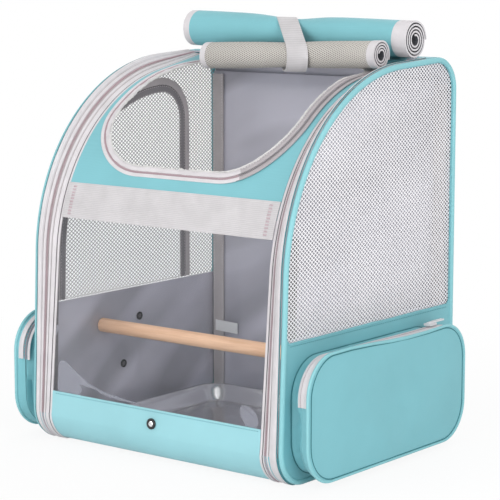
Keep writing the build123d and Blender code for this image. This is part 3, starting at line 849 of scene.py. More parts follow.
def ribbed_finish(name, colour, axis, pitch, roughness=0.7, depth=0.5):
    """Tape or webbing with fine ribs across one axis and finer threads along it."""
    look = Look(name, colour, roughness, Sheen_Weight=0.15)
    ribs = look.wave(look.axes()["XYZ".index(axis)], pitch)
    both = look.maths("MULTIPLY_ADD", look.weave(pitch * 0.7), 0.4, ribs)
    # Painted shade: the colour darkened where the ribs run low.
    dip = look.maths("MULTIPLY_ADD", both, 0.06, 0.94)
    look.surface(Base_Color=look.tint(look.wander(colour, 0.06, 60.0), dip),
                 Normal=look.bump(depth, 0.2, both))


def wood_finish(name, colour):
    look = Look(name, colour, 0.5)
    grain = look.noise(6.0, 6.0, look.place(Scale=(3.0, 60.0, 60.0)), 0.6)
    dark = [c * f for c, f in zip(colour, (0.84, 0.78, 0.72))]
    look.surface(Base_Color=look.ramp(grain, (0.35, dark), (0.65, colour)),
                 Normal=look.bump(0.15, 0.2, grain))


def metal_finish(name, colour, roughness, scratch=0.08, scale=(900.0, 40.0, 40.0), metallic=1.0):
    look = Look(name, colour, roughness, Metallic=metallic)
    lines = look.noise(1.0, 3.0, look.place(Scale=scale))
    look.surface(Roughness=look.maths("MULTIPLY_ADD", lines, 0.18, roughness - 0.09),
                 Normal=look.bump(scratch, 0.1, lines))


def plastic_finish(name, colour, roughness=0.42):
    look = Look(name, colour, roughness)
    wear = look.noise(45.0, 4.0)
    look.surface(Roughness=look.maths("MULTIPLY_ADD", wear, 0.2, roughness - 0.1),
                 Normal=look.bump(0.2, 0.1, look.noise(900.0, 2.0)))


def film_finish(name):
    """Clear film: mostly see-through, with gloss that grows towards grazing sight."""
    look = Look(name, (0.9, 0.93, 0.95), 0.06, IOR=1.52)
    look.surface(Normal=look.bump(0.1, 4, look.noise(7.0, 2.0)))
    clear = look.add("BsdfTransparent", Color=(0.97, 0.975, 0.98, 1))
    gloss = (look.add("LayerWeight", Blend=0.25), "Fresnel")
    look.mix(look.maths("MULTIPLY_ADD", gloss, 0.35, 0.0), clear, look.shader)


def haze_reflection_finish(name):
    """Film folded back on itself: milky, but still see-through."""
    look = Look(name, (0.40, 0.40, 0.46), 0.3)
    look.mix(0.38, look.add("BsdfTransparent"), look.shader)


def make_finishes():
    shades = {key: tuple(getattr(colours(), key)) for key in CarrierColours.__annotations__}
    cloth_finish("teal", shades["teal"], Sheen_Weight=0.1)
    # The band's paler colour is partly painted sheen.
    cloth_finish("band", shades["band"], Sheen_Weight=0.1)
    cloth_finish("piping", shades["piping"], pitch=0.8, wander=0.04, crease=0.05)
    cloth_finish("fringe", (0.78, 0.77, 0.76), pitch=0.7, weave=0.8)
    cloth_finish("strap_cloth", shades["webbing"], pitch=1.3, weave=0.6, crease=0.1)
    # The net's inside is a darker copy of the net: painted shade.
    for name, roughness in (("net", 0.6), ("net_inside", 0.7)):
        cloth_finish(name, shades[name], pitch=0.5, weave=0.2, roughness=roughness, crease=0.0)
    cloth_finish("label", (0.95, 0.95, 0.95), pitch=0.5, weave=0.2, roughness=0.6)
    cloth_finish("thread", shades["thread"], pitch=0.4, weave=0.5, crease=0.0)
    ribbed_finish("tape", shades["tape"], "X", 1.1)
    ribbed_finish("belt", shades["belt"], "Z", 1.75, depth=0.35)
    ribbed_finish("webbing", shades["webbing"], "Z", 1.6, depth=0.6)
    # The darker greys here are painted shade on tapes that lie in shade.
    for name, shade in (("binding", shades["binding"]), ("grey_edge", shades["grey_edge"]),
                        ("edge_shade", linear((176, 170, 173)))):
        ribbed_finish(name, shade, "Z", 1.3, roughness=0.8)
    screen_finish("screen", shades["screen"])
    satin_finish("lining", shades["lining"])
    # Near-black for painted shade: the zips' folds and the eyelets' holes.
    plastic_finish("groove", (0.12, 0.11, 0.12), 0.6)
    plastic_finish("coil", shades["coil"], 0.45)
    plastic_finish("black", shades["black"])
    # Dark teal for painted shadow in the seams.
    plastic_finish("seam", linear((52, 118, 126)), 0.7)
    metal_finish("steel", shades["steel"], 0.19, 0.004, scale=(9.0, 22.0, 9.0), metallic=0.9)
    metal_finish("zip_metal", (0.40, 0.39, 0.41), 0.4)
    metal_finish("silver", (0.75, 0.75, 0.76), 0.22)
    metal_finish("wire_steel", (0.5, 0.5, 0.52), 0.35)
    wood_finish("wood", shades["wood"])
    film_finish("film")
    haze_reflection_finish("haze")


# ---- front ----------------------------------------------------------------------------
def foot_line(step=3.0):
    """The bottom and foot in side view, from the heel forward and up to just under the fold."""
    front = SHELL["front"] + SHELL["lean"] * BAND_TOP
    line = rounded_path([(BACK, HEEL_RADIUS), (BACK, 0), d_corners(0)[0], (front, BAND_TOP)],
                        [0, HEEL_RADIUS - 0.1, FOOT_RADIUS, 0], step, close=False)
    return [p for p in line if p.x > -100 or p.y < 33.0]


def door_sheet(name, line, columns):
    """A sheet as wide as the door between its zips."""
    return sheet_from(name, line, -DOOR_HALF, 2 * DOOR_HALF, columns)


def build_bottom():
    """Bottom cloth and the door's low band, one sheet that bends at the door's fold."""
    low = foot_line()
    high = [p for p in front_path(FOLD, DOOR_REAR, step=2.5) if 35.5 < p.y < BAND_TOP]
    high.append(Vector((DOOR["front"] + DOOR["lean"] * BAND_TOP, BAND_TOP)))
    sheet = make_cloth(door_sheet("front_band_cloth", low + high, 68), CORE_POINT,
                       sizes().cloth, depth=0.5 * MM, size=0.06, seed=5,
                       keep=lambda p: off_sides(p, 0.02) * near(p.z, 0.056, 0.01)
                       if p.z > 0.006 else 0.0)
    # The band's paler colour stands partly for painted sheen.
    finish_off(sheet, DOOR_BLEND, "band", ("bottom_panel", "door_band"))
    for side, k in SIDES.items():
        strip = sheet_from(f"bottom_strip_{side}", low, k * DOOR_HALF, k * 21.4, 4)
        make_cloth(strip, CORE_POINT, sizes().cloth)
        finish_off(strip, "shell", "teal")
    level = BAND_TOP - 2.2
    y = DOOR["front"] + DOOR["lean"] * level
    stitches("front_band_stitches", [Vector((x, y, level)) * MM for x in range(-132, 133, 12)],
             (0, -1, DOOR["lean"]), "front_door")


def opening_height():
    """Height of the door's surface over the opening's plane, by the distance up that plane."""
    line = front_path(150, DOOR_REAR + 20, step=2.0)
    cos, sin = math.cos(OPENING_TILT), math.sin(OPENING_TILT)
    v = [(p.x - OPENING_MIDDLE[0]) * cos + (p.y - OPENING_MIDDLE[1]) * sin for p in line]
    n = [-(p.x - OPENING_MIDDLE[0]) * sin + (p.y - OPENING_MIDDLE[1]) * cos for p in line]
    return v, n


def opening_frame():
    """The opening's plane: its origin, its direction up, and its direction out."""
    cos, sin = math.cos(OPENING_TILT), math.sin(OPENING_TILT)
    return Vector((0, *OPENING_MIDDLE)), Vector((0, cos, sin)), Vector((0, -sin, cos))


def opening_outline(inset, step=5.0):
    half, low, high = 130 - inset, -79 + inset, 137 - inset
    return rounded_path([(-half, low), (half, low), (half, high), (-half, high)],
                        [78 - inset, 78 - inset, 40 - inset, 40 - inset], step)


def opening_points(inset, lift=0.0, step=4.0):
    """The opening's edge at an inset, laid on the door's surface, with the surface's normals.

    The edge stands up along its right side, the more the further in it lies.
    """
    vs, ns = opening_height()
    origin, up, out = opening_frame()
    points, normals = [], []
    for u, v in opening_outline(inset, step):
        n = float(np.interp(v, vs, ns))
        slope = (float(np.interp(v + 1, vs, ns)) - float(np.interp(v - 1, vs, ns))) / 2
        normal = (out - up * slope).normalized()
        p = (origin + Vector((u, 0, 0)) + up * v + out * n + normal * lift) * MM
        share = near(p.x, 0.02, 0.09) if p.x > 0.02 else 0.0
        share *= 1 - near(p.y, 0.0, 0.05) if p.y > 0.0 else 1.0
        points.append(p + normal * share * (0.35 + 0.38 * inset) * MM)
        normals.append(normal)
    return points, normals


def cut_with(piece, cutter):
    modify(piece, "BOOLEAN", operation="DIFFERENCE", object=cutter, solver="EXACT")
    bpy.data.objects.remove(cutter)


def build_upper():
    """Teal upper panel of the door with its access opening, and the opening's binding."""
    line = cut_path(front_path(FOLD, DOOR_REAR, step=4.0), low=(BELT_LOW + BELT_HIGH) / 2)
    panel = make_cloth(door_sheet("upper_panel_cloth", line, 68), CORE_POINT, sizes().cloth,
                       depth=0.9 * MM, size=0.07, seed=9,
                       keep=lambda p: off_sides(p, 0.03) * near(p.z, 0.253, 0.03)
                       * near(p.y, 0.098, 0.05))
    origin, up, out = opening_frame()
    edge = [(origin + Vector((u, 0, 0)) + up * v - out * 90) * MM for u, v in opening_outline(3)]
    cut_with(panel, solid_from("opening_cutter", edge, out * 0.18))
    finish_off(panel, "front_door", "teal", "upper_panel")

    for name, inset, half, lift, finish, nodes in (
            ("opening_tape_outer", 1.9, 1.9, 0.25, "tape", "opening_binding"),
            ("opening_tape_inner", 8.3, 2.5, -0.2, "tape", ()),
            ("opening_tape_base", 5.0, 1.6, -0.9, "binding", ())):
        strip = sweep(f"{name}_cloth", rounded_strip(half, 0.65, 0.4),
                      *opening_points(inset, lift), close=True)
        if name == "opening_tape_inner":
            crumple(strip, 0.8 * MM, 0.007, 3, keep=lambda p: 1.0 if p.x < 0.03 else 0.2)
        finish_off(strip, "front_door", finish, nodes, 50)
        second_finish(strip, "edge_shade", lambda c, n: c.x > OPENING_SHADE_X)
    row = teeth("opening_teeth", *opening_points(4.7, 0.2), 2.2, "front_door", close=True)
    # The teeth on the right take a darker grey: painted shade.
    second_finish(row, "grey_edge", lambda c, n: c.x > OPENING_SHADE_X)
    for k, inset in enumerate((1.9, 9.6)):
        stitches(f"opening_stitches_{k}", *opening_points(inset, 0.5), "front_door", "tape",
                 close=True)
    fringe = sweep("opening_fringe", circle_section(0.9, 6), *opening_points(11.4, -0.2, 1.1),
                   close=True)
    crumple(fringe, 1.5 * MM, 0.005, 8, keep=lambda p: 1.0 if p.x < 0.03 else 0.3)
    finish_off(fringe, "front_door", "fringe", angle=None)


def build_window():
    """Clear film with slack that bends what it mirrors, and the ribbed crossband over it."""
    line = cut_path(front_path(FOLD, DOOR_REAR, step=5.0), low=BAND_TOP - 3, high=BELT_LOW + 6)
    line = [Vector((p.x + 0.8, p.y)) for p in line]
    film = make_cloth(door_sheet("window_film", line, 48), CORE_POINT, 0.35 * MM,
                      depth=1.3 * MM, size=0.11, seed=4,
                      keep=lambda p: off_sides(p, 0.04) * near(p.z, 0.053, 0.05)
                      * near(p.z, 0.241, 0.05))
    finish_off(film, "front_door", "film", "clear_window")

    # Folds of film, whose milky grey stands partly for painted reflection.
    for side, outline in FILM_FOLDS.items():
        edge = rounded_path(outline, [6] * len(outline), 4.0)
        points = [Vector((p.x, DOOR["front"] + DOOR["lean"] * p.y + 1.7, p.y)) * MM for p in edge]
        fold = draw_line(f"window_film_fold_{side}", points, close=True)
        with shaping(fold):
            bpy.ops.mesh.edge_face_add()
        make_cloth(fold, CORE_POINT, 0.3 * MM)
        finish_off(fold, "front_door", "haze", angle=None)

    heights = np.arange(BELT_LOW, BELT_HIGH + 0.1, 0.875)
    front = [p for p in front_path(FOLD, DOOR_REAR, step=2.0) if p.y < 330]
    ys = np.interp(heights, [p.y for p in front], [p.x for p in front])
    ribs = [Vector((y - 1.1 - (0.28 if i % 2 else 0.0), z))
            for i, (y, z) in enumerate(zip(ys, heights))]
    belt = make_cloth(door_sheet("crossband_webbing", ribs, 50), CORE_POINT, 1.0 * MM,
                      depth=0.5 * MM, size=0.08, seed=3, axis=(0, -1, 0),
                      keep=lambda p: off_sides(p, 0.03))
    finish_off(belt, "front_door", "belt", "crossband", 60)
    for side, k in SIDES.items():
        for j in range(3):
            x = k * (DOOR_HALF - 8 - 1.5 * j)
            points = [Vector((x, y - 1.5, z)) * MM for y, z in zip(ys[3:-3], heights[3:-3])]
            stitches(f"crossband_tack_{side}_{j}", points, (0, -1, 0.15), "front_door", "coil")


def build_stud():
    """Press stud: a turned black ring with a bright cap."""
    z = 41.5
    base = Vector((0, DOOR["front"] + DOOR["lean"] * z, z)) * MM
    turn = Vector((0, 0, 1)).rotation_difference(Vector((0, -1, 0.085))).to_matrix().to_4x4()
    for name, finish, profile in (
            ("press_stud_ring", "black",
             [(5.5, 0.0), (5.5, 1.1), (4.9, 1.9), (3.9, 2.1), (3.1, 1.5), (3.0, 0.2)]),
            ("press_stud_cap", "silver",
             [(3.0, 0.2), (2.9, 1.5), (2.2, 1.9), (1.2, 1.7), (1.0, 1.2), (0.0, 1.1)])):
        part = draw_line(name, [Vector((r, 0, h)) * MM for r, h in profile])
        with shaping(part):
            bpy.ops.mesh.spin(steps=32, angle=math.tau, center=(0, 0, 0), axis=(0, 0, 1))
            merge_all(1e-5)
            bpy.ops.mesh.fill_holes(sides=0)
            face_out()
        part.matrix_world = Matrix.Translation(base) @ turn
        finish_off(settle(part), "front_door", finish, "press_stud")


def zip_lines():
    """The door's line and the shell's line from under the foot to the rear of the top."""
    low = [p for p in foot_line(2.0) if p.x < -104]
    lines = []
    for kind in (DOOR, SHELL):
        line = low + [p for p in front_path(FOLD, DOOR_REAR, kind=kind, step=2.0) if p.y > 36]
        runs = run_lengths(line)
        spots = np.linspace(0, runs[-1], ZIP_POINTS)
        lines.append([Vector((float(y), float(z)))
                      for y, z in zip(np.interp(spots, runs, [p.x for p in line]),
                                      np.interp(spots, runs, [p.y for p in line]))])
    return lines


def build_main_zips():
    """Both halves of each main zip, down round the foot: tapes, teeth and grooves."""
    door, shell = zip_lines()
    outward = [Vector((n.y, n.z)) for n in normals_along([Vector((0, *p)) for p in door])]
    for side, k in SIDES.items():
        middle = ZIP_MIDDLE[side]

        def row(x, lift):
            """The zip's line at an x, between the door's surface and the shell's."""
            t = min(1.0, max(0.0, (x - COIL_OUT) / (TAPE_OUT - COIL_OUT)))
            points = []
            for d, s, n in zip(door, shell, outward):
                on_foot = d.y < FOLD + 2 and d.x < 0 and x < middle
                rise = lift + (0.9 * near(d.y, FOLD + 2, 12) if on_foot else 0)
                y, z = d.lerp(s, t) + n * rise
                points.append(Vector((k * x, y, max(z, 0.9))) * MM)
            return points

        wide = [middle + 4.3 + (ZIP_EDGE - middle - 4.3) * t
                for t in (0, 0.03, 0.2, 0.42, 0.64, 0.86, 0.96, 1.0)]
        for name, xs, lifts, finish, nodes in (
                ("shell_tape_lip", [middle + t for t in (1.3, 1.6, 2.4, 3.3, 3.7)],
                 (-0.3, 0.35, 0.6, 0.35, -0.3), "tape", ()),
                ("shell_tape_base", (middle + 1.1, middle + 6.0), (-0.9, -0.9), "binding", ()),
                ("shell_tape_wide", wide, (-0.6, 0.1, 0.9, 1.3, 1.4, 1.1, 0.5, -0.8), "tape",
                 f"shell_zip_tape_{side}")):
            tape = rows_sheet(f"{name}_{side}", [row(x, lift) for x, lift in zip(xs, lifts)])
            make_cloth(tape, CORE_POINT, 0.8 * MM, depth=0.18 * MM, size=0.03, seed=7 + k)
            finish_off(tape, "shell", finish, nodes, 60)
        # A dark teal line at the tape's edge: painted shadow of the seam.
        points = row(ZIP_EDGE + 0.2, 0.7)
        line = sweep(f"shell_tape_seam_{side}", rounded_strip(0.45, 0.4, 0.25), points,
                     normals_along(points))
        finish_off(line, "shell", "seam", angle=50)

        strips = [(136.1, 138.9, -0.1, "tape"), (139.9, middle - 1.3, -0.1, "tape")]
        if middle - 141.2 > 4:
            strips[1:] = [(139.9, 144.6, -0.1, "tape"), (145.2, middle - 1.3, 0.0, "tape")]
        strips.append((136.4, middle + 1.6, -1.4, "binding"))
        for j, (x0, x1, lift, finish) in enumerate(strips):
            xs = [x0, x0 + 0.35] + [x0 + (x1 - x0) * t for t in (0.3, 0.5, 0.7)] + [x1 - 0.35, x1]
            rows = [row(x, lift + bow)
                    for x, bow in zip(xs, (-0.35, 0.1, 0.3, 0.35, 0.3, 0.1, -0.35))]
            strip = make_cloth(rows_sheet(f"door_tape_{side}_{j}", rows), CORE_POINT, 0.7 * MM)
            finish_off(strip, DOOR_BLEND, finish,
                       () if j else f"door_zip_tape_{side}", 50)
        # A near-black line in the zip's fold: painted shadow.
        hats = normals_along(row(138.0, 0.0))
        line = sweep(f"door_groove_{side}", rounded_strip(0.42, 0.3, 0.2), row(139.4, -0.35), hats)
        finish_off(line, DOOR_BLEND, "groove", angle=50)
        teeth(f"door_zip_teeth_{side}", row(middle, 0.1), hats, 2.4, DOOR_BLEND)


# ---- sides -----------------------------------------------------------------------------
def net_cells(name, outline, x):
    """A diamond net cut to an outline: a turned grid of squares, to be inset and opened."""
    low = Vector([min(p[i] for p in outline) for i in (0, 1)])
    high = Vector([max(p[i] for p in outline) for i in (0, 1)])
    middle = (low + high) / 2
    wide, tall = sizes().net_width / MM, sizes().net_height / MM
    cells = math.ceil((high.x - low.x) / wide + (high.y - low.y) / tall) + 2
    piece = start_piece(name, "grid", x_subdivisions=cells, y_subdivisions=cells,
                        size=cells * MM, rotation=(0, 0, math.radians(45)))
    piece.scale = (wide / math.sqrt(2), tall / math.sqrt(2), 1)
    settle(piece)
    piece.rotation_euler = (math.pi / 2, 0, math.pi / 2)
    piece.location = Vector((x, middle.x, middle.y)) * MM
    return trim(settle(piece), outline, x)


def make_net(name, outline, x, body, node, share=1.0, hole=None, sag=None):
    """A net with every whole cell opened; pale outside, darker on inner faces and edges."""
    piece = net_cells(name, outline, x)
    whole = 0.5 * sizes().net_width * sizes().net_height * 0.35
    with shaping(piece):
        if hole:
            choose_faces(piece, lambda f: inside((f.calc_center_median().y / MM,
                                                  f.calc_center_median().z / MM), hole))
            bpy.ops.mesh.delete(type="FACE")
        choose_faces(piece, lambda f: f.calc_area() > whole)
        bpy.ops.mesh.inset(use_individual=True, thickness=sizes().net_thread * share,
                           use_even_offset=True)
        bpy.ops.mesh.delete(type="FACE")
        bpy.ops.mesh.select_mode(type="VERT")
    if sag:
        crumple(piece, 0.5 * MM, 0.09, sag, axis=(1, 0, 0), keep=lambda p: near(p.z, 0.139, 0.02))
    make_cloth(piece, (0, 0, 0.25), 0.45 * MM, 0.0)
    finish_off(piece, body, "net", node, angle=None)
    # Inner faces and edges take the darker net colour: painted shade.
    second_finish(piece, "net_inside", lambda c, n: n.x * math.copysign(1, x) < 0.5)


def build_nets():
    """Nets of both sides and of the arch door."""
    for side, k in SIDES.items():
        outline = d_outline(2.2, bottom=136.5, radii=(6, 6, 31.8), step=8.0)
        hole = arch_outline(-6) if side == "left" else None
        make_net(f"side_net_{side}", outline, k * NET_X, "shell", f"side_mesh_{side}",
                 0.62 if hole else 1.0, hole, k)
    make_net("arch_net", arch_outline(5, step=8.0), -NET_X, "mesh_door", "mesh_door", 0.62)


def build_side_cloth():
    """Each side panel: a border round the net and the full cloth under it."""
    for side, k in SIDES.items():
        out = (k, 0, 0)
        panel = flat_sheet(f"side_cloth_{side}", d_outline(3.6, step=5.0), k * SIDE_CLOTH_X)
        make_cloth(panel, (0, 0, 0.15), 1.6 * MM, depth=0.45 * MM, size=0.05, seed=3 + k,
                   axis=(1, 0, 0), keep=lambda p: near(p.z, 0.139, 0.02) if p.z < 0.139 else 0.0)
        window = d_outline(5.8, bottom=139.0, radii=(8, 8, 28.2), step=5.0)
        cut_with(panel, solid_from("window_cutter", yz(window, k * 150), (k * 0.02, 0, 0)))
        finish_off(panel, "shell", "teal", f"side_panel_{side}")
        hem = [Vector((k * 161.2, y, 136.6)) * MM for y in range(-134, 139, 8)]
        stitches(f"side_cloth_stitches_{side}", hem, out, "shell")
        brim = [Vector((k * 160.3, y, 139.0)) * MM for y in range(-136, 141, 6)]
        roll = sweep(f"side_hem_{side}", circle_section(1.1, 8), brim, out)
        crumple(roll, 0.5 * MM, 0.03, k)
        finish_off(roll, "shell", "teal", angle=60)


def build_piping():
    """Cloth-covered piping round each side."""
    radius = sizes().piping / MM
    for side, k in SIDES.items():
        line = yz(d_outline(radius, step=4.0), k * HALF_WIDTH)
        pipe = sweep(f"edge_piping_cloth_{side}", circle_section(radius, 14), line, (k, 0, 0),
                     close=True)
        finish_off(pipe, "shell", "piping", f"edge_piping_{side}", 60)


def build_arch_zip():
    """Tapes and teeth round the arch door, and the tape behind the corner."""
    low = 143.2 * MM
    for name, inset, body, node, finish in (
            # The arch door's tape takes the darker grey: painted shade.
            ("arch_door_tape", 4.0, "mesh_door", "mesh_door_tape", "grey_edge"),
            ("arch_frame_tape", -4.0, "shell", "mesh_door_frame_tape", "binding")):
        path = open_run(yz(arch_outline(inset, step=5.0), -NET_X), low + 0.002)
        first, last = path[0].copy(), path[-1].copy()
        first.z = last.z = low
        path = [first] + path + [last]
        strip = sweep(name, rounded_strip(3.9, 0.55, 0.3), path, (-1, 0, 0))
        finish_off(strip, body, finish, node, 50)
        for j, off in enumerate((-3.0, 3.0)):
            row = stitches(f"{name}_stitches_{j}", path, (1, 0, 0), body, "binding",
                           across=off * MM)
            for v in row.data.vertices:
                v.co.x += 0.55 * MM
    path = open_run(yz(arch_outline(0.0, step=5.0), -NET_X), low + 0.002)
    teeth("arch_zip_teeth", path, (-1, 0, 0), 2.4, "mesh_door", "black")


def build_linings():
    """Satin linings with soft folds, tapes in the back corners, and the plain label."""
    depth = sizes().wrinkle
    for side, k in SIDES.items():
        sheet = flat_sheet(f"side_lining_cloth_{side}", d_outline(8.0, step=6.0), k * LINING_X, 4.0)
        with shaping(sheet):
            for place, normal in (((0, 0, 142.0), (0, 0, 1)), ((0, 0, 5.0), (0, 0, -1)),
                                  ((0, 142.6, 0), (0, 1, 0))):
                bpy.ops.mesh.select_all(action="SELECT")
                bpy.ops.mesh.bisect(plane_co=Vector(place) * MM, plane_no=normal, clear_outer=True)

        def keep(p):
            fade = near(p.z, 0.142, 0.03) * near(p.y, 0.1426, 0.02) * near(p.z, 0.005, 0.03)
            for y, z in EYELETS:
                fade *= near(math.hypot(p.y - y * MM, p.z - z * MM), 0.004, 0.02)
            return fade
        make_cloth(sheet, (k * 0.5, 0, 0.07), 0.5 * MM, depth=depth, size=0.05, seed=11 + k,
                   axis=(-k, 0, 0), keep=keep, stretch=(1, 0.8, 0.55), lean=0.9)
        finish_off(sheet, "shell", "lining", f"side_lining_{side}")
    sheet = wall_sheet("back_lining_cloth", -155.5, 155.5, 9, 372, 142.6)
    make_cloth(sheet, (0, 0.5, 0.2), 0.5 * MM, depth=depth * 0.9, size=0.085, seed=21,
               axis=(0, -1, 0), stretch=(0.7, 1, 1.25), lean=0.9,
               keep=lambda p: near(min(abs(p.x), 0.139), 0.139, 0.03) * near(p.z, 0.009, 0.03)
               * near(p.z, 0.372, 0.02))
    finish_off(sheet, "shell", "lining", "back_lining")
    for side, k in SIDES.items():
        path = [Vector((k * 148.2, 140.6, z)) * MM for z in range(9, 372, 6)]
        tape = sweep(f"corner_tape_cloth_{side}", rounded_strip(7.6, 0.55, 0.35), path, (0, -1, 0))
        crumple(tape, 0.35 * MM, 0.03, 4 + k, axis=(0, -1, 0))
        finish_off(tape, "shell", "binding", f"corner_tape_{side}", 50)
        for j, off in enumerate((-5.8, 5.8)):
            stitches(f"corner_tape_stitches_{side}_{j}",
                     [p + Vector((off, -0.6, 0)) * MM for p in path], (0, -1, 0), "shell", "tape")
        front = yz([Vector((-130.5 + 0.04 * z, z)) for z in range(40, 240, 6)], k * 154.5)
        hem = sweep(f"front_inner_tape_{side}", rounded_strip(8.5, 0.5, 0.3), front, (-k, 0, 0))
        # The inner front tape takes the darker grey: painted shade.
        finish_off(hem, "shell", "grey_edge", angle=50)
        # Near-black discs in the eyelets' holes: painted shade.
        for j, (y, z) in enumerate(EYELETS[1:]):
            hole = [(y + 3.1 * math.cos(a), z + 3.1 * math.sin(a))
                    for a in (math.tau * t / 20 for t in range(20))]
            shadow_disc = flat_sheet(f"eyelet_gap_{side}_{j}", hole, k * 156.9, 2.0)
            make_cloth(shadow_disc, (k * 0.5, 0, 0.08), 0.3 * MM)
            finish_off(shadow_disc, "shell", "groove", angle=None)
    label = wall_sheet("label_cloth", -152.4, -116.0, 74.6, 87.0, 139.9, 2.0)
    for v in label.data.vertices:
        v.co.y -= 0.14 * (v.co.x + 0.1524)
    make_cloth(label, (0, 0.5, 0.08), 0.3 * MM, depth=0.5 * MM, size=0.02, seed=2,
               axis=(0, -1, 0), keep=lambda p: near(p.x, -0.1524, 0.02))
    finish_off(label, "shell", "label", "blank_label")


# ---- top ---------------------------------------------------------------------------------
def spiral(roll):
    """A roll's spiral line in the side view, from its core out to its last angle."""
    count = int(roll["turns"] * POINTS_PER_TURN)
    out = []
    for i in range(count + 1):
        t = i / count
        angle = math.radians(roll["end_angle"]) + (1 - t) * roll["turns"] * math.tau
        radius = roll["core"] + (roll["outer"] - roll["core"]) * t
        out.append(Vector((roll["axis"][0] + radius * math.cos(angle),
                           roll["axis"][1] + radius * math.sin(angle))))
    return out


def roll_sheet(name, x0, x1, roll, line, thick, columns):
    """A piece of a rolled curtain: its line extruded along X, pinched where the tie holds it."""
    axis, tilt = roll["axis"], roll["tilt"]
    piece = sheet_from(name, line, x0, x1 - x0, columns)
    for v in piece.data.vertices:
        x = v.co.x / MM
        pinch = 1 - roll["waist"] * math.exp(-((x - roll["tie"]) / 34) ** 2)
        away = Vector((v.co.y / MM - axis[0], v.co.z / MM - axis[1]))
        if away.length < 24:
            angle = math.atan2(away.y, away.x)
            spot = (x / 60, math.cos(angle), math.sin(angle))
            wobble = 1 + 0.018 * ripple(spot, 1.0, roll["seed"])
            v.co.y = (axis[0] + away.x * pinch * wobble) * MM
            v.co.z = (axis[1] + away.y * pinch * wobble + tilt * (x - TIE_MIDDLE)) * MM
    with shaping(piece):
        bpy.ops.mesh.normals_make_consistent(inside=False)
    return thicken(piece, thick * MM, 0.0)


def wound_in(spot, roll):
    """Whether a point lies under the last turn of a roll."""
    middle = roll["axis"][1] + roll["tilt"] * (spot.x / MM - TIE_MIDDLE)
    away = Vector((spot.y / MM - roll["axis"][0], spot.z / MM - middle))
    turn = (math.atan2(away.y, away.x) - math.radians(roll["end_angle"])) % math.tau
    return away.length < roll["outer"] - roll["pitch"] * turn / math.tau - 1.5


def build_roll(name, part, roll, finish, thick, node, tail=()):
    """One rolled curtain: its cloth, its two bound ends, and the flat sheet that it is cut from."""
    line = spiral(roll)
    (first, last), (left, right) = roll["ends"], roll["hems"]
    left, right = first + left, last - right
    many, few = roll["columns"]
    cloth = roll_sheet(f"{name}_{part}", left, right, roll, line + [Vector(p) for p in tail],
                       thick, many)
    finish_off(cloth, "front_door", finish, node, 50)
    for side, x0, x1 in (("left", first, left), ("right", right, last)):
        end = roll_sheet(f"{name}_end_{side}", x0, x1, roll, line, 1.8, few)
        finish_off(end, "front_door", "tape", angle=50)
        # Faces wound in under the last turn take the dark webbing colour: painted shade inside the
        # roll.
        second_finish(end, "webbing", lambda c, n: abs(n.x) < 0.6 and wound_in(c, roll))


def build_rolls():
    """The rolled cover, the rolled net curtain, and the strap that ties them."""
    build_roll("cover_roll", "cloth", COVER, "teal", 1.5, "cover_roll",
               COVER_TAIL)
    build_roll("screen_roll", "net", SCREEN, "screen", 1.3, "mesh_roll")
    a, b = Vector(COVER["axis"]), Vector(SCREEN["axis"])
    ra, rb = 16.9, 15.3
    run = b - a
    tilt = math.atan2(run.y, run.x)
    lean = math.acos((ra - rb) / run.length)
    loop = []
    for centre, radius, start, end in ((a, ra, tilt + lean, tilt + math.tau - lean),
                                       (b, rb, tilt - lean, tilt + lean)):
        for i in range(15):
            t = start + (end - start) * i / 14
            loop.append(centre + Vector((math.cos(t), math.sin(t))) * radius)
    points = yz(loop, TIE_MIDDLE)
    middle = Vector((0, (a.x + b.x) / 2, (a.y + b.y) / 2)) * MM
    hats = [Vector((0, p.y - middle.y, p.z - middle.z)).normalized() for p in points]
    strap = sweep("tie_strap_webbing", rounded_strip(13.5, 0.6, 0.4, 2), points, hats, close=True)
    for v in strap.data.vertices:
        v.co.x += 1.02 * (0.070 - v.co.y) + 0.011
    finish_off(strap, "front_door", "belt", "tie_strap", 50)


def build_top_rear():
    """The top panel behind the door, down to the back."""
    line = rounded_path([(98.3, SHELL["top"] + 98.3 * SHELL["slope"]), d_corners(0)[2],
                         (BACK, 357.1)], [0, REAR_RADIUS, 0], 4.0, close=False)
    panel = make_cloth(sheet_from("top_rear_cloth", line, -TOP_HALF, 2 * TOP_HALF, 60), (0, 0, 0.2),
                       sizes().cloth, depth=0.5 * MM, size=0.06, seed=6,
                       keep=lambda p: off_sides(p, 0.02, TOP_HALF * MM) * near(p.z, 0.357, 0.01))
    finish_off(panel, "shell", "teal", "top_rear_panel")
    second_finish(panel, "lining", lambda c, n: n.y < -0.25 or n.z < -0.3)
    z = SHELL["top"] + 101.5 * SHELL["slope"]
    stitches("top_rear_stitches", [Vector((x, 101.5, z)) * MM for x in range(-150, 151, 10)],
             (0, 0, 1), "shell")


# ---- inside -------------------------------------------------------------------------------
def fixed_round(half_x, half_y, radius, corner=10, side=8):
    """Rounded rectangle with a set count of points."""
    spots = [(1, 1, 0), (-1, 1, 90), (-1, -1, 180), (1, -1, 270)]

    def on_corner(spot, turn):
        sx, sy, start = spot
        a = math.radians(start + turn)
        middle = Vector((sx * (half_x - radius), sy * (half_y - radius)))
        return middle + Vector((math.cos(a), math.sin(a))) * radius

    out = []
    for spot, after in zip(spots, spots[1:] + spots[:1]):
        out += [on_corner(spot, 90 * k / corner) for k in range(corner + 1)]
        last, follow = out[-1], on_corner(after, 0)
        out += [last.lerp(follow, k / side) for k in range(1, side)]
    return out


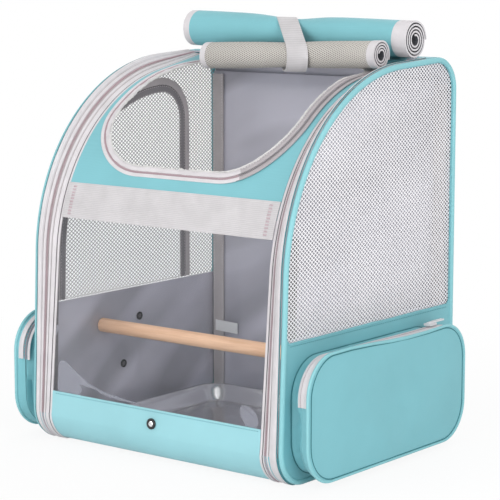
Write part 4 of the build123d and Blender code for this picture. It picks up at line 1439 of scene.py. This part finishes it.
def build_tray():
    """Pressed steel tray: a flat lip, flared walls and a soft bend into the floor."""
    sections = [(134.0, 109.0, 21.2, 26.0), (133.8, 108.8, 21.9, 26.0), (131.0, 106.0, 22.0, 24.0),
                (129.6, 104.6, 21.4, 23.0), (126.0, 101.0, 16.6, 21.0), (121.0, 96.0, 10.4, 18.5),
                (118.6, 93.6, 7.2, 17.0), (117.0, 92.0, 6.0, 16.0), (114.0, 89.0, 5.45, 14.0),
                (60.0, 50.0, 5.4, 10.0)]
    rings = [[Vector((p.x, p.y + 3.0, z)) * MM for p in fixed_round(half_x, half_y, radius)]
             for half_x, half_y, z, radius in sections]
    tray = rows_sheet("tray_steel", rings, close=True, fill=True)
    make_cloth(tray, (0, 0, -1.0), 0.8 * MM)
    bevel(tray, 0.2, 2)
    finish_off(tray, "tray", "steel", "tray", 40)


# ---- side pockets ---------------------------------------------------------------------------
def pocket_drop(y, z, share=1.0):
    """How far the pocket's upper edge hangs, a little more at the zip, where the slider runs."""
    if z <= 90:
        return 0.0
    face = min(1.0, max(0.0, (share - 0.75) / 0.2))
    sag = face * float(np.interp(y, *POCKET_SAG)) + (1 - face) * float(np.interp(y, *ZIP_SAG))
    return sag * near(z, 90, 35)


def pocket_ring(share, sag=True):
    """Outline of a pocket between the side panel (0) and its face (1)."""
    base, face = (-132.0, 115.0, 8.0, 124.0), (-145.0, 127.0, 7.0, 129.0)
    front, back, low, high = [a + (b - a) * share for a, b in zip(base, face)]
    middle = Vector(((front + back) / 2, (low + high) / 2))
    out = [p + middle for p in fixed_round((back - front) / 2, (high - low) / 2, 38.0, 12, 26)]
    for p in out:
        p.y += pocket_drop(p.x, p.y, share) * share if sag else 0.0
    return out


def pocket_x(share):
    return POCKET_X + share * POCKET_DEPTH


def zip_run(k, share):
    """The part of the pocket's outline above the fold, front to back, just off the gusset."""
    points = yz(open_run(pocket_ring(share), 81.5), k * pocket_x(share))
    normals = normals_along(points)
    if normals[len(normals) // 2].z < 0:
        normals = [-n for n in normals]
    return [p + n * 0.5 * MM for p, n in zip(points, normals)], normals


def build_gusset(name, k, shares, body, node, keep):
    """A ring of a pocket's side cloth, between two shares of its depth."""
    piece = rows_sheet(name, [yz(pocket_ring(s), k * pocket_x(s)) for s in shares], close=True)
    make_cloth(piece, (k * 0.175, 0, 0.066), 1.3 * MM, depth=6.0 * MM, size=0.02, seed=30 + k,
               keep=keep, stretch=(2.0, 1, 0.6), lean=-0.85)
    finish_off(piece, body, "teal", node, 50)


def slack(p):
    """How loose the gusset's cloth is: most in front, none at its edges."""
    x = abs(p.x) / MM
    open_part = near(x, POCKET_X, 6) * near(x, 180.0, 4)
    front = 1.0 if p.y < -0.09 else 0.45
    return open_part * front * (0.35 if p.z < 0.02 else 1.0)


def swell(p):
    """How far a pocket's face stands out, 1 at its middle and 0 at its edge."""
    y, z = [(c / MM - middle) for c, middle in zip((p.y, p.z), POCKET_MIDDLE)]
    return max(0.0, 1 - (y / 137) ** 2) * max(0.0, 1 - (z / 62) ** 2)


def build_pockets():
    """Both side pockets; the face and all above the zip fold with the flap."""
    for side, k in SIDES.items():
        out, flap = (k, 0, 0), f"pocket_flap_{side}"
        fold = ("shell", flap, (k * 0.191, 0, 0.076), (k * 0.191, 0, 0.084))
        build_gusset(f"pocket_gusset_{side}", k, [0, 0.1, 0.2, 0.3, 0.4, 0.5, 0.58, 0.62],
                     "shell", f"pocket_body_{side}", slack)
        build_gusset(f"pocket_rim_{side}", k, [0.65, 0.75, 0.85, 0.95, 0.985], fold, (),
                     lambda p: 0.0)

        face = flat_sheet(f"pocket_face_{side}", pocket_ring(1.0, sag=False), k * 190.6, 4.5)
        for v in face.data.vertices:
            v.co.z += pocket_drop(v.co.y / MM, v.co.z / MM) * MM
            v.co.x += k * 3.2 * MM * swell(v.co) ** 0.7
        make_cloth(face, (0, 0, 0.066), 1.2 * MM, depth=0.9 * MM, size=0.06, seed=40 + k,
                   axis=out, keep=lambda p: min(1.0, 2 * swell(p)))
        finish_off(face, fold, "teal", flap)

        cord = sweep(f"pocket_piping_{side}", circle_section(1.6, 10),
                     yz(pocket_ring(0.985), k * 190.2), out, close=True)
        finish_off(cord, fold, "piping", angle=60)
        centre = Vector(POCKET_MIDDLE)
        inner = [centre + (p - centre) * 0.968 for p in pocket_ring(1.0)]
        for name, radius, points, body in (
                ("pocket_face_seam", 0.6, yz(inner, k * 191.1), fold),
                ("pocket_base_seam", 0.7, yz(pocket_ring(0.0), k * 161.6), "shell")):
            # Dark teal lines in the pocket's seams: painted shadow.
            seam = sweep(f"{name}_{side}", circle_section(radius, 6), points, out, close=True)
            finish_off(seam, body, "seam", angle=60)
        for name, share, width, body in (("pocket_zip_tape", 0.80, 4.0, flap),
                                         ("pocket_zip_back", 0.52, 1.8, "shell")):
            strip = sweep(f"{name}_{side}", rounded_strip(width, 0.5, 0.3), *zip_run(k, share))
            finish_off(strip, body, "tape", angle=50)
        teeth(f"pocket_zip_teeth_{side}", *zip_run(k, 0.615), 2.6, flap)
        stitches(f"pocket_zip_stitches_{side}", *zip_run(k, 0.68), flap, "coil")


# ---- back --------------------------------------------------------------------------------------
def puff(piece, pressure, frames, cap, voxel=5.0):
    """Swells a closed piece like a filled cushion, and limits how far any point goes."""
    modify(piece, "REMESH", mode="VOXEL", voxel_size=voxel * MM)
    before = [v.co.copy() for v in piece.data.vertices]
    pick(piece)
    cloth = piece.modifiers.new("Cloth", "CLOTH")
    cloth.settings.use_pressure = True
    cloth.settings.uniform_pressure_force = pressure
    cloth.settings.quality = 5
    cloth.settings.effector_weights.gravity = 0
    cloth.point_cache.frame_start, cloth.point_cache.frame_end = 1, frames
    for frame_number in range(1, frames + 1):
        bpy.context.scene.frame_set(frame_number)
    bpy.ops.object.modifier_apply(modifier="Cloth")
    bpy.context.scene.frame_set(1)
    for v, old in zip(piece.data.vertices, before):
        move = v.co - old
        if move.length > cap:
            v.co = old + move.normalized() * cap
    modify(piece, "SUBSURF", levels=1, render_levels=1)


def fill_out(piece, axis, low, high):
    """Stretches a piece along one axis, so that it reaches from low to high."""
    reach = [v.co[axis] for v in piece.data.vertices]
    start, share = min(reach), (high - low) / (max(reach) - min(reach))
    for v in piece.data.vertices:
        v.co[axis] = low + (v.co[axis] - start) * share


def groove(value, lines, width):
    """How deep a place lies in the nearest of some sewn lines, from 0 to 1."""
    return max(math.exp(-((value - line) / width) ** 2) for line in lines)


def build_back():
    """Padded back panel with sewn channels."""
    pad = start_piece("back_pad", "cube", (315.2, 5.0, 339.5), size=MM,
                      location=Vector((0, 146.6, 187.5)) * MM)
    puff(pad, 4.0, 16, 1.4 * MM)
    fill_out(pad, 0, -158.0 * MM, 158.0 * MM)
    fill_out(pad, 2, 16.9 * MM, 357.6 * MM)
    for v in pad.data.vertices:
        if v.co.y > PAD_MIDDLE:
            x, z = v.co.x / MM, v.co.z / MM
            dip = max(groove(x, PAD_SEAMS, 3.2) if 24 < z < 345 else 0,
                      groove(z, PAD_CHANNELS, 3.2) if abs(x) < 52 else 0)
            v.co.y -= 1.6 * MM * dip
            v.co.y = min(v.co.y, PAD_OUTER)
        v.co.y = max(v.co.y, PAD_INNER)
    finish_off(pad, "shell", "teal", "back_panel", 60)
    second_finish(pad, "lining", lambda c, n: c.y < 0.1455 and n.y < -0.3)
    for j, x in enumerate(PAD_SEAMS):
        points = [Vector((x, PAD_STITCH_Y, z)) * MM for z in range(24, 346, 8)]
        stitches(f"back_pad_seam_{j}", points, (0, 1, 0), "shell")
    for j, z in enumerate(PAD_CHANNELS):
        points = [Vector((x, PAD_STITCH_Y, z)) * MM for x in range(-50, 51, 10)]
        stitches(f"back_pad_channel_{j}", points, (0, 1, 0), "shell")


def strap_edge(edge, z):
    """X of a strap pad's inner or outer edge at a height, on a parabola through three points."""
    (z0, x0), (z1, x1), (z2, x2) = STRAP_EDGES[edge]
    return ((z - z1) * (z - z2) / ((z0 - z1) * (z0 - z2)) * x0
            + (z - z0) * (z - z2) / ((z1 - z0) * (z1 - z2)) * x1
            + (z - z0) * (z - z1) / ((z2 - z0) * (z2 - z1)) * x2)


def strap_rim(k, y, inset):
    """A strap pad's outline at an inset, up its inner edge and down its outer one."""
    heights = [122 + 223 * i / 30 for i in range(31)]
    edges = [(strap_edge("inner", z) + inset, z) for z in heights]
    edges += [(strap_edge("outer", z) - inset, z) for z in reversed(heights)]
    return [Vector((k * x, y, z)) * MM for x, z in edges]


def divided(points, parts):
    """The points, in millimetres, with each run between them divided evenly."""
    points = [Vector(p) * MM for p in points]
    return [a.lerp(b, i / parts) for a, b in zip(points, points[1:])
            for i in range(parts)] + [points[-1]]


def sewn_tab(name, wide, tall, columns, rows, middle, thick, edge, node):
    """A rectangle of thick webbing sewn on the back, with rounded edges."""
    tab = grid_sheet(name, wide, tall, columns, rows, middle)
    make_cloth(tab, (0, 0, 0.35), thick * MM, 1.0)
    bevel(tab, *edge)
    finish_off(tab, "shell", "webbing", node, 50)


def build_straps():
    """Padded shoulder straps with bindings, webbing, yokes and lower anchors."""
    for side, k in SIDES.items():
        body, back = f"shoulder_strap_{side}", (0, 1, 0)
        pad = solid_from(f"shoulder_pad_{side}", strap_rim(k, 151.6, 2), (0, 8.0 * MM, 0))
        puff(pad, 5.0, 18, 1.5 * MM, 4.0)
        for v in pad.data.vertices:
            x, z = abs(v.co.x) / MM, v.co.z / MM
            centre = (strap_edge("inner", z) + strap_edge("outer", z)) / 2
            dip = groove(z, STRAP_CHANNELS, 2.6) if abs(x - centre) < 17 else 0.0
            middle = STRAP_MIDDLE * MM
            v.co.y = middle + (v.co.y - middle) * (1 - 0.3 * dip)
            v.co.y = max(v.co.y, STRAP_INNER)
        finish_off(pad, body, "strap_cloth", body, 60)
        bind = sweep(f"shoulder_binding_{side}", circle_section(2.2, 10),
                     strap_rim(k, 155.7, 0.8), back, close=True)
        finish_off(bind, body, "webbing", angle=60)
        web = [(84.5, 161.0, 340), (86.5, 161.8, 300), (89.0, 161.9, 250), (94.5, 161.9, 190),
               (101.5, 161.4, 140), (103.6, 159.5, 124), (104.0, 156.5, 114)]
        run = sweep(f"shoulder_webbing_{side}", rounded_strip(12.2, 0.7, 0.4),
                    divided([(k * x, y, z) for x, y, z in web], 5), back)
        finish_off(run, body, "webbing", angle=50)
        web = [(104.0, 155.2, 116), (104.8, 154.9, 108), (108.5, 154.4, 90), (113.5, 154.2, 72),
               (119.5, 154.2, 50)]
        run = sweep(f"adjusting_webbing_{side}", rounded_strip(12.0, 0.9, 0.4),
                    divided([(k * x, y, z) for x, y, z in web], 6), back)
        finish_off(run, ("shell", body, (k * 0.119, 0.154, 0.055), (k * 0.104, 0.154, 0.112)),
                   "webbing", f"strap_webbing_{side}", 50)

        sewn_tab(f"strap_yoke_cloth_{side}", 46, 9.6, 14, 6, (k * YOKE_X, 150.2, 351), 2.4,
                 (0.8, 3), f"strap_yoke_{side}")
        stitches(f"strap_yoke_stitches_{side}",
                 [Vector((k * YOKE_X + x, 152.7, 351)) * MM for x in range(-20, 21, 4)], back,
                 "shell", "strap_cloth")

        corners = [Vector(c) for c in ((102, 54), (126, 66), (154, 30), (154, 22), (116, 22))]
        tab = solid_from(f"strap_anchor_cloth_{side}",
                         [Vector((k * c.x, 150.1, c.y)) * MM for c in corners], (0, 2.8 * MM, 0))
        bevel(tab, 0.9, 3)
        finish_off(tab, "shell", "webbing", f"strap_anchor_{side}", 50)
        centre = sum(corners, Vector((0, 0))) / 5
        inner = [centre + (c - centre) * 0.8 for c in corners]
        points = [Vector((k * c.x, 153.0, c.y)) * MM for c in inner]
        stitches(f"strap_anchor_stitches_{side}", points, back, "shell", "strap_cloth", close=True)


def build_handle():
    """Webbing handle with a thicker grip, on two sewn tabs."""
    back = (0, 1, 0)
    path = rounded_path([(-HANDLE_X, 371.5), (-HANDLE_X, 326), (HANDLE_X, 326), (HANDLE_X, 371.5)],
                        [0, 24, 24, 0], 3.0, close=False)
    points = [Vector((p.x, HANDLE_Y, p.y)) * MM for p in path]
    handle = sweep("carry_handle_webbing", circle_section(5.0, 14), points, back)
    finish_off(handle, "carry_handle", "webbing", "carry_handle", 60)
    points = [p for p in points if abs(p.x) < 0.034 and p.z < 0.34]
    grip = sweep("carry_handle_grip", circle_section(5.9, 16), points, back)
    bevel(grip, 1.0, 3)
    finish_off(grip, "carry_handle", "strap_cloth", angle=60)
    stitches("carry_handle_stitches", [p + Vector((0, 5.9, 0)) * MM for p in points], back,
             "carry_handle", "webbing")
    for side, k in SIDES.items():
        sewn_tab(f"handle_tab_{side}", 18, 13, 8, 8, (k * HANDLE_X, 150.3, 364.5), 1.7,
                 (0.5, 2), "handle_anchors")
        loop = [Vector((k * HANDLE_X + dx, 152.1, 364.5 + dz)) * MM for dx, dz in
                ((-7, -5), (7, -5), (7, 5), (-7, 5), (-7, -5), (7, 5))]
        stitches(f"handle_tab_stitches_{side}", loop, back, "shell", "strap_cloth")


def dress_kept_nodes():
    """Hard parts whose CAD shape is right keep it and get their finish."""
    kept = [("mesh_door_slider", "zip_metal", "zip_metal"), ("perch", "wood", "beech"),
            ("base_board", "lining", "board")]
    for side in SIDES:
        kept += [(f"eyelets_{side}", "black", "dark_metal"),
                 (f"perch_screw_{side}", "black", "black_plastic"),
                 (f"strap_adjuster_{side}", "black", "black_plastic"),
                 (f"frame_wire_{side}", "wire_steel", "spring_steel"),
                 (f"pocket_slider_{side}", "zip_metal", "zip_metal")]
    for name, finish, slot in kept:
        smooth(dress(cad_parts[name], finish), 30)


# ---- stage --------------------------------------------------------------------------------------
LAMPS = (("key", (-0.9, -2.0, 1.4), 13), ("front", (0.5, -2.4, 0.55), 15),
         ("fill", (2.1, -0.9, 1.0), 23), ("top", (0.1, 0.3, 2.2), 5),
         ("rear", (-0.6, 2.1, 1.4), 12))
CAMERA_PLACE = (1.2137, -1.5319, 0.4901)
CAMERA_AZIMUTH, CAMERA_ELEVATION = math.radians(38.2), math.radians(8.5)
CAMERA_LENS, CAMERA_SENSOR = 137.2, 36.0


def put_in_scene(name, data, place, look_along):
    made = bpy.data.objects.new(name, data)
    bpy.context.scene.collection.objects.link(made)
    made.location = place
    made.rotation_euler = look_along.to_track_quat("-Z", "Y").to_euler()
    return made


def build_stage():
    """A pale floor that glows white further out, a white sky, five lamps and the camera."""
    floor = start_piece("floor", "plane", size=sizes().floor, location=(0, 0, -0.0005))
    look = Look("floor_paper", (0.86, 0.86, 0.86), 0.8)
    reach = look.add("VectorMath", operation="LENGTH")
    look.feed(reach, "Vector", look.object)
    fade = look.add("MapRange", Value=(reach, "Value"), From_Min=0.28, From_Max=0.75,
                    To_Min=0.90, To_Max=1.0)
    look.mix(look.maths("MULTIPLY", look.seen(), (fade, "Result")), look.shader,
             look.add("Emission", Strength=1.0))
    floor.data.materials.append(look.material)

    world = bpy.data.worlds.new("studio")
    bpy.context.scene.world = world
    world.use_nodes = True
    sky = Nodes(world.node_tree)
    back = sky.tree.nodes["Background"]
    sky.feed(back, "Color", (1, 1, 1, 1))
    sky.feed(back, "Strength", sky.maths("MULTIPLY_ADD", sky.seen(), 0.42, 0.58))

    for name, place, power in LAMPS:
        data = bpy.data.lights.new(name, "AREA")
        data.shape, data.size, data.energy = "SQUARE", 1.2, power
        put_in_scene(name, data, place, Vector((0, 0, 0.2)) - Vector(place))

    data = bpy.data.cameras.new("camera")
    data.sensor_width, data.lens = CAMERA_SENSOR, CAMERA_LENS
    data.clip_start, data.clip_end = 0.05, 50
    level = math.cos(CAMERA_ELEVATION)
    back = Vector((math.sin(CAMERA_AZIMUTH) * level, -math.cos(CAMERA_AZIMUTH) * level,
                   math.sin(CAMERA_ELEVATION)))
    bpy.context.scene.camera = put_in_scene("camera", data, CAMERA_PLACE, -back)
    bpy.context.scene.view_settings.view_transform = "Standard"


# ---- add-on parts ------------------------------------------------------------------------------
def operator(name, label, text, build):
    """An operator class that runs one builder."""
    def execute(self, context):
        build()
        return {"FINISHED"}

    return type(f"CARRIER_OT_{name}", (bpy.types.Operator,), {
        "__doc__": text, "bl_idname": f"carrier.{name}", "bl_label": label, "execute": execute})


OPERATORS = [operator(*row) for row in (
    ("finishes", "Make finishes", "Makes every material of the carrier", make_finishes),
    ("bottom", "Bottom and band", "Makes the bottom cloth and the door's low band", build_bottom),
    ("upper", "Upper panel", "Makes the upper panel with its bound opening", build_upper),
    ("window", "Window and crossband", "Makes the clear film and the crossband", build_window),
    ("stud", "Press stud", "Makes the press stud", build_stud),
    ("main_zips", "Main zips", "Makes the two main zips", build_main_zips),
    ("nets", "Nets", "Makes the side nets and the arch door's net", build_nets),
    ("side_cloth", "Side cloth", "Makes the side panels", build_side_cloth),
    ("piping", "Edge piping", "Makes the edge pipings", build_piping),
    ("arch_zip", "Arch zip", "Makes the tapes and teeth of the arch door", build_arch_zip),
    ("linings", "Linings", "Makes the linings, corner tapes and label", build_linings),
    ("rolls", "Rolled curtains", "Makes both rolls and their tie strap", build_rolls),
    ("top_rear", "Top rear panel", "Makes the top rear panel", build_top_rear),
    ("tray", "Tray", "Makes the steel tray", build_tray),
    ("pockets", "Pockets", "Makes both side pockets", build_pockets),
    ("back", "Back pad", "Makes the padded back", build_back),
    ("straps", "Shoulder straps", "Makes the straps, webbing and anchors", build_straps),
    ("handle", "Carry handle", "Makes the carry handle and its tabs", build_handle),
    ("kept", "Hard parts", "Gives the CAD nodes that stay their finishes", dress_kept_nodes),
    ("stage", "Stage", "Makes the floor, lights, world and camera", build_stage),
)]


class CARRIER_PT_panel(bpy.types.Panel):
    """Lists the carrier's sizes, colours and pieces"""
    bl_idname = "CARRIER_PT_panel"
    bl_label = "Carrier"
    bl_space_type = "VIEW_3D"
    bl_region_type = "UI"
    bl_category = "Carrier"

    def draw(self, context):
        for group in (context.scene.carrier_sizes, context.scene.carrier_colours):
            for key in group.bl_rna.properties.keys():
                if key not in ("rna_type", "name"):
                    self.layout.prop(group, key)
        for made in OPERATORS:
            self.layout.operator(made.bl_idname)


def register():
    for made in (CarrierColours, CarrierSizes, *OPERATORS, CARRIER_PT_panel):
        bpy.utils.register_class(made)
    bpy.types.Scene.carrier_colours = bpy.props.PointerProperty(type=CarrierColours)
    bpy.types.Scene.carrier_sizes = bpy.props.PointerProperty(type=CarrierSizes)


def unregister():
    del bpy.types.Scene.carrier_colours
    del bpy.types.Scene.carrier_sizes
    for made in reversed((CarrierColours, CarrierSizes, *OPERATORS, CARRIER_PT_panel)):
        bpy.utils.unregister_class(made)


def main():
    register()
    for made in OPERATORS:
        group, name = made.bl_idname.split(".")
        getattr(getattr(bpy.ops, group), name)()


if __name__ == "__main__":
    main()
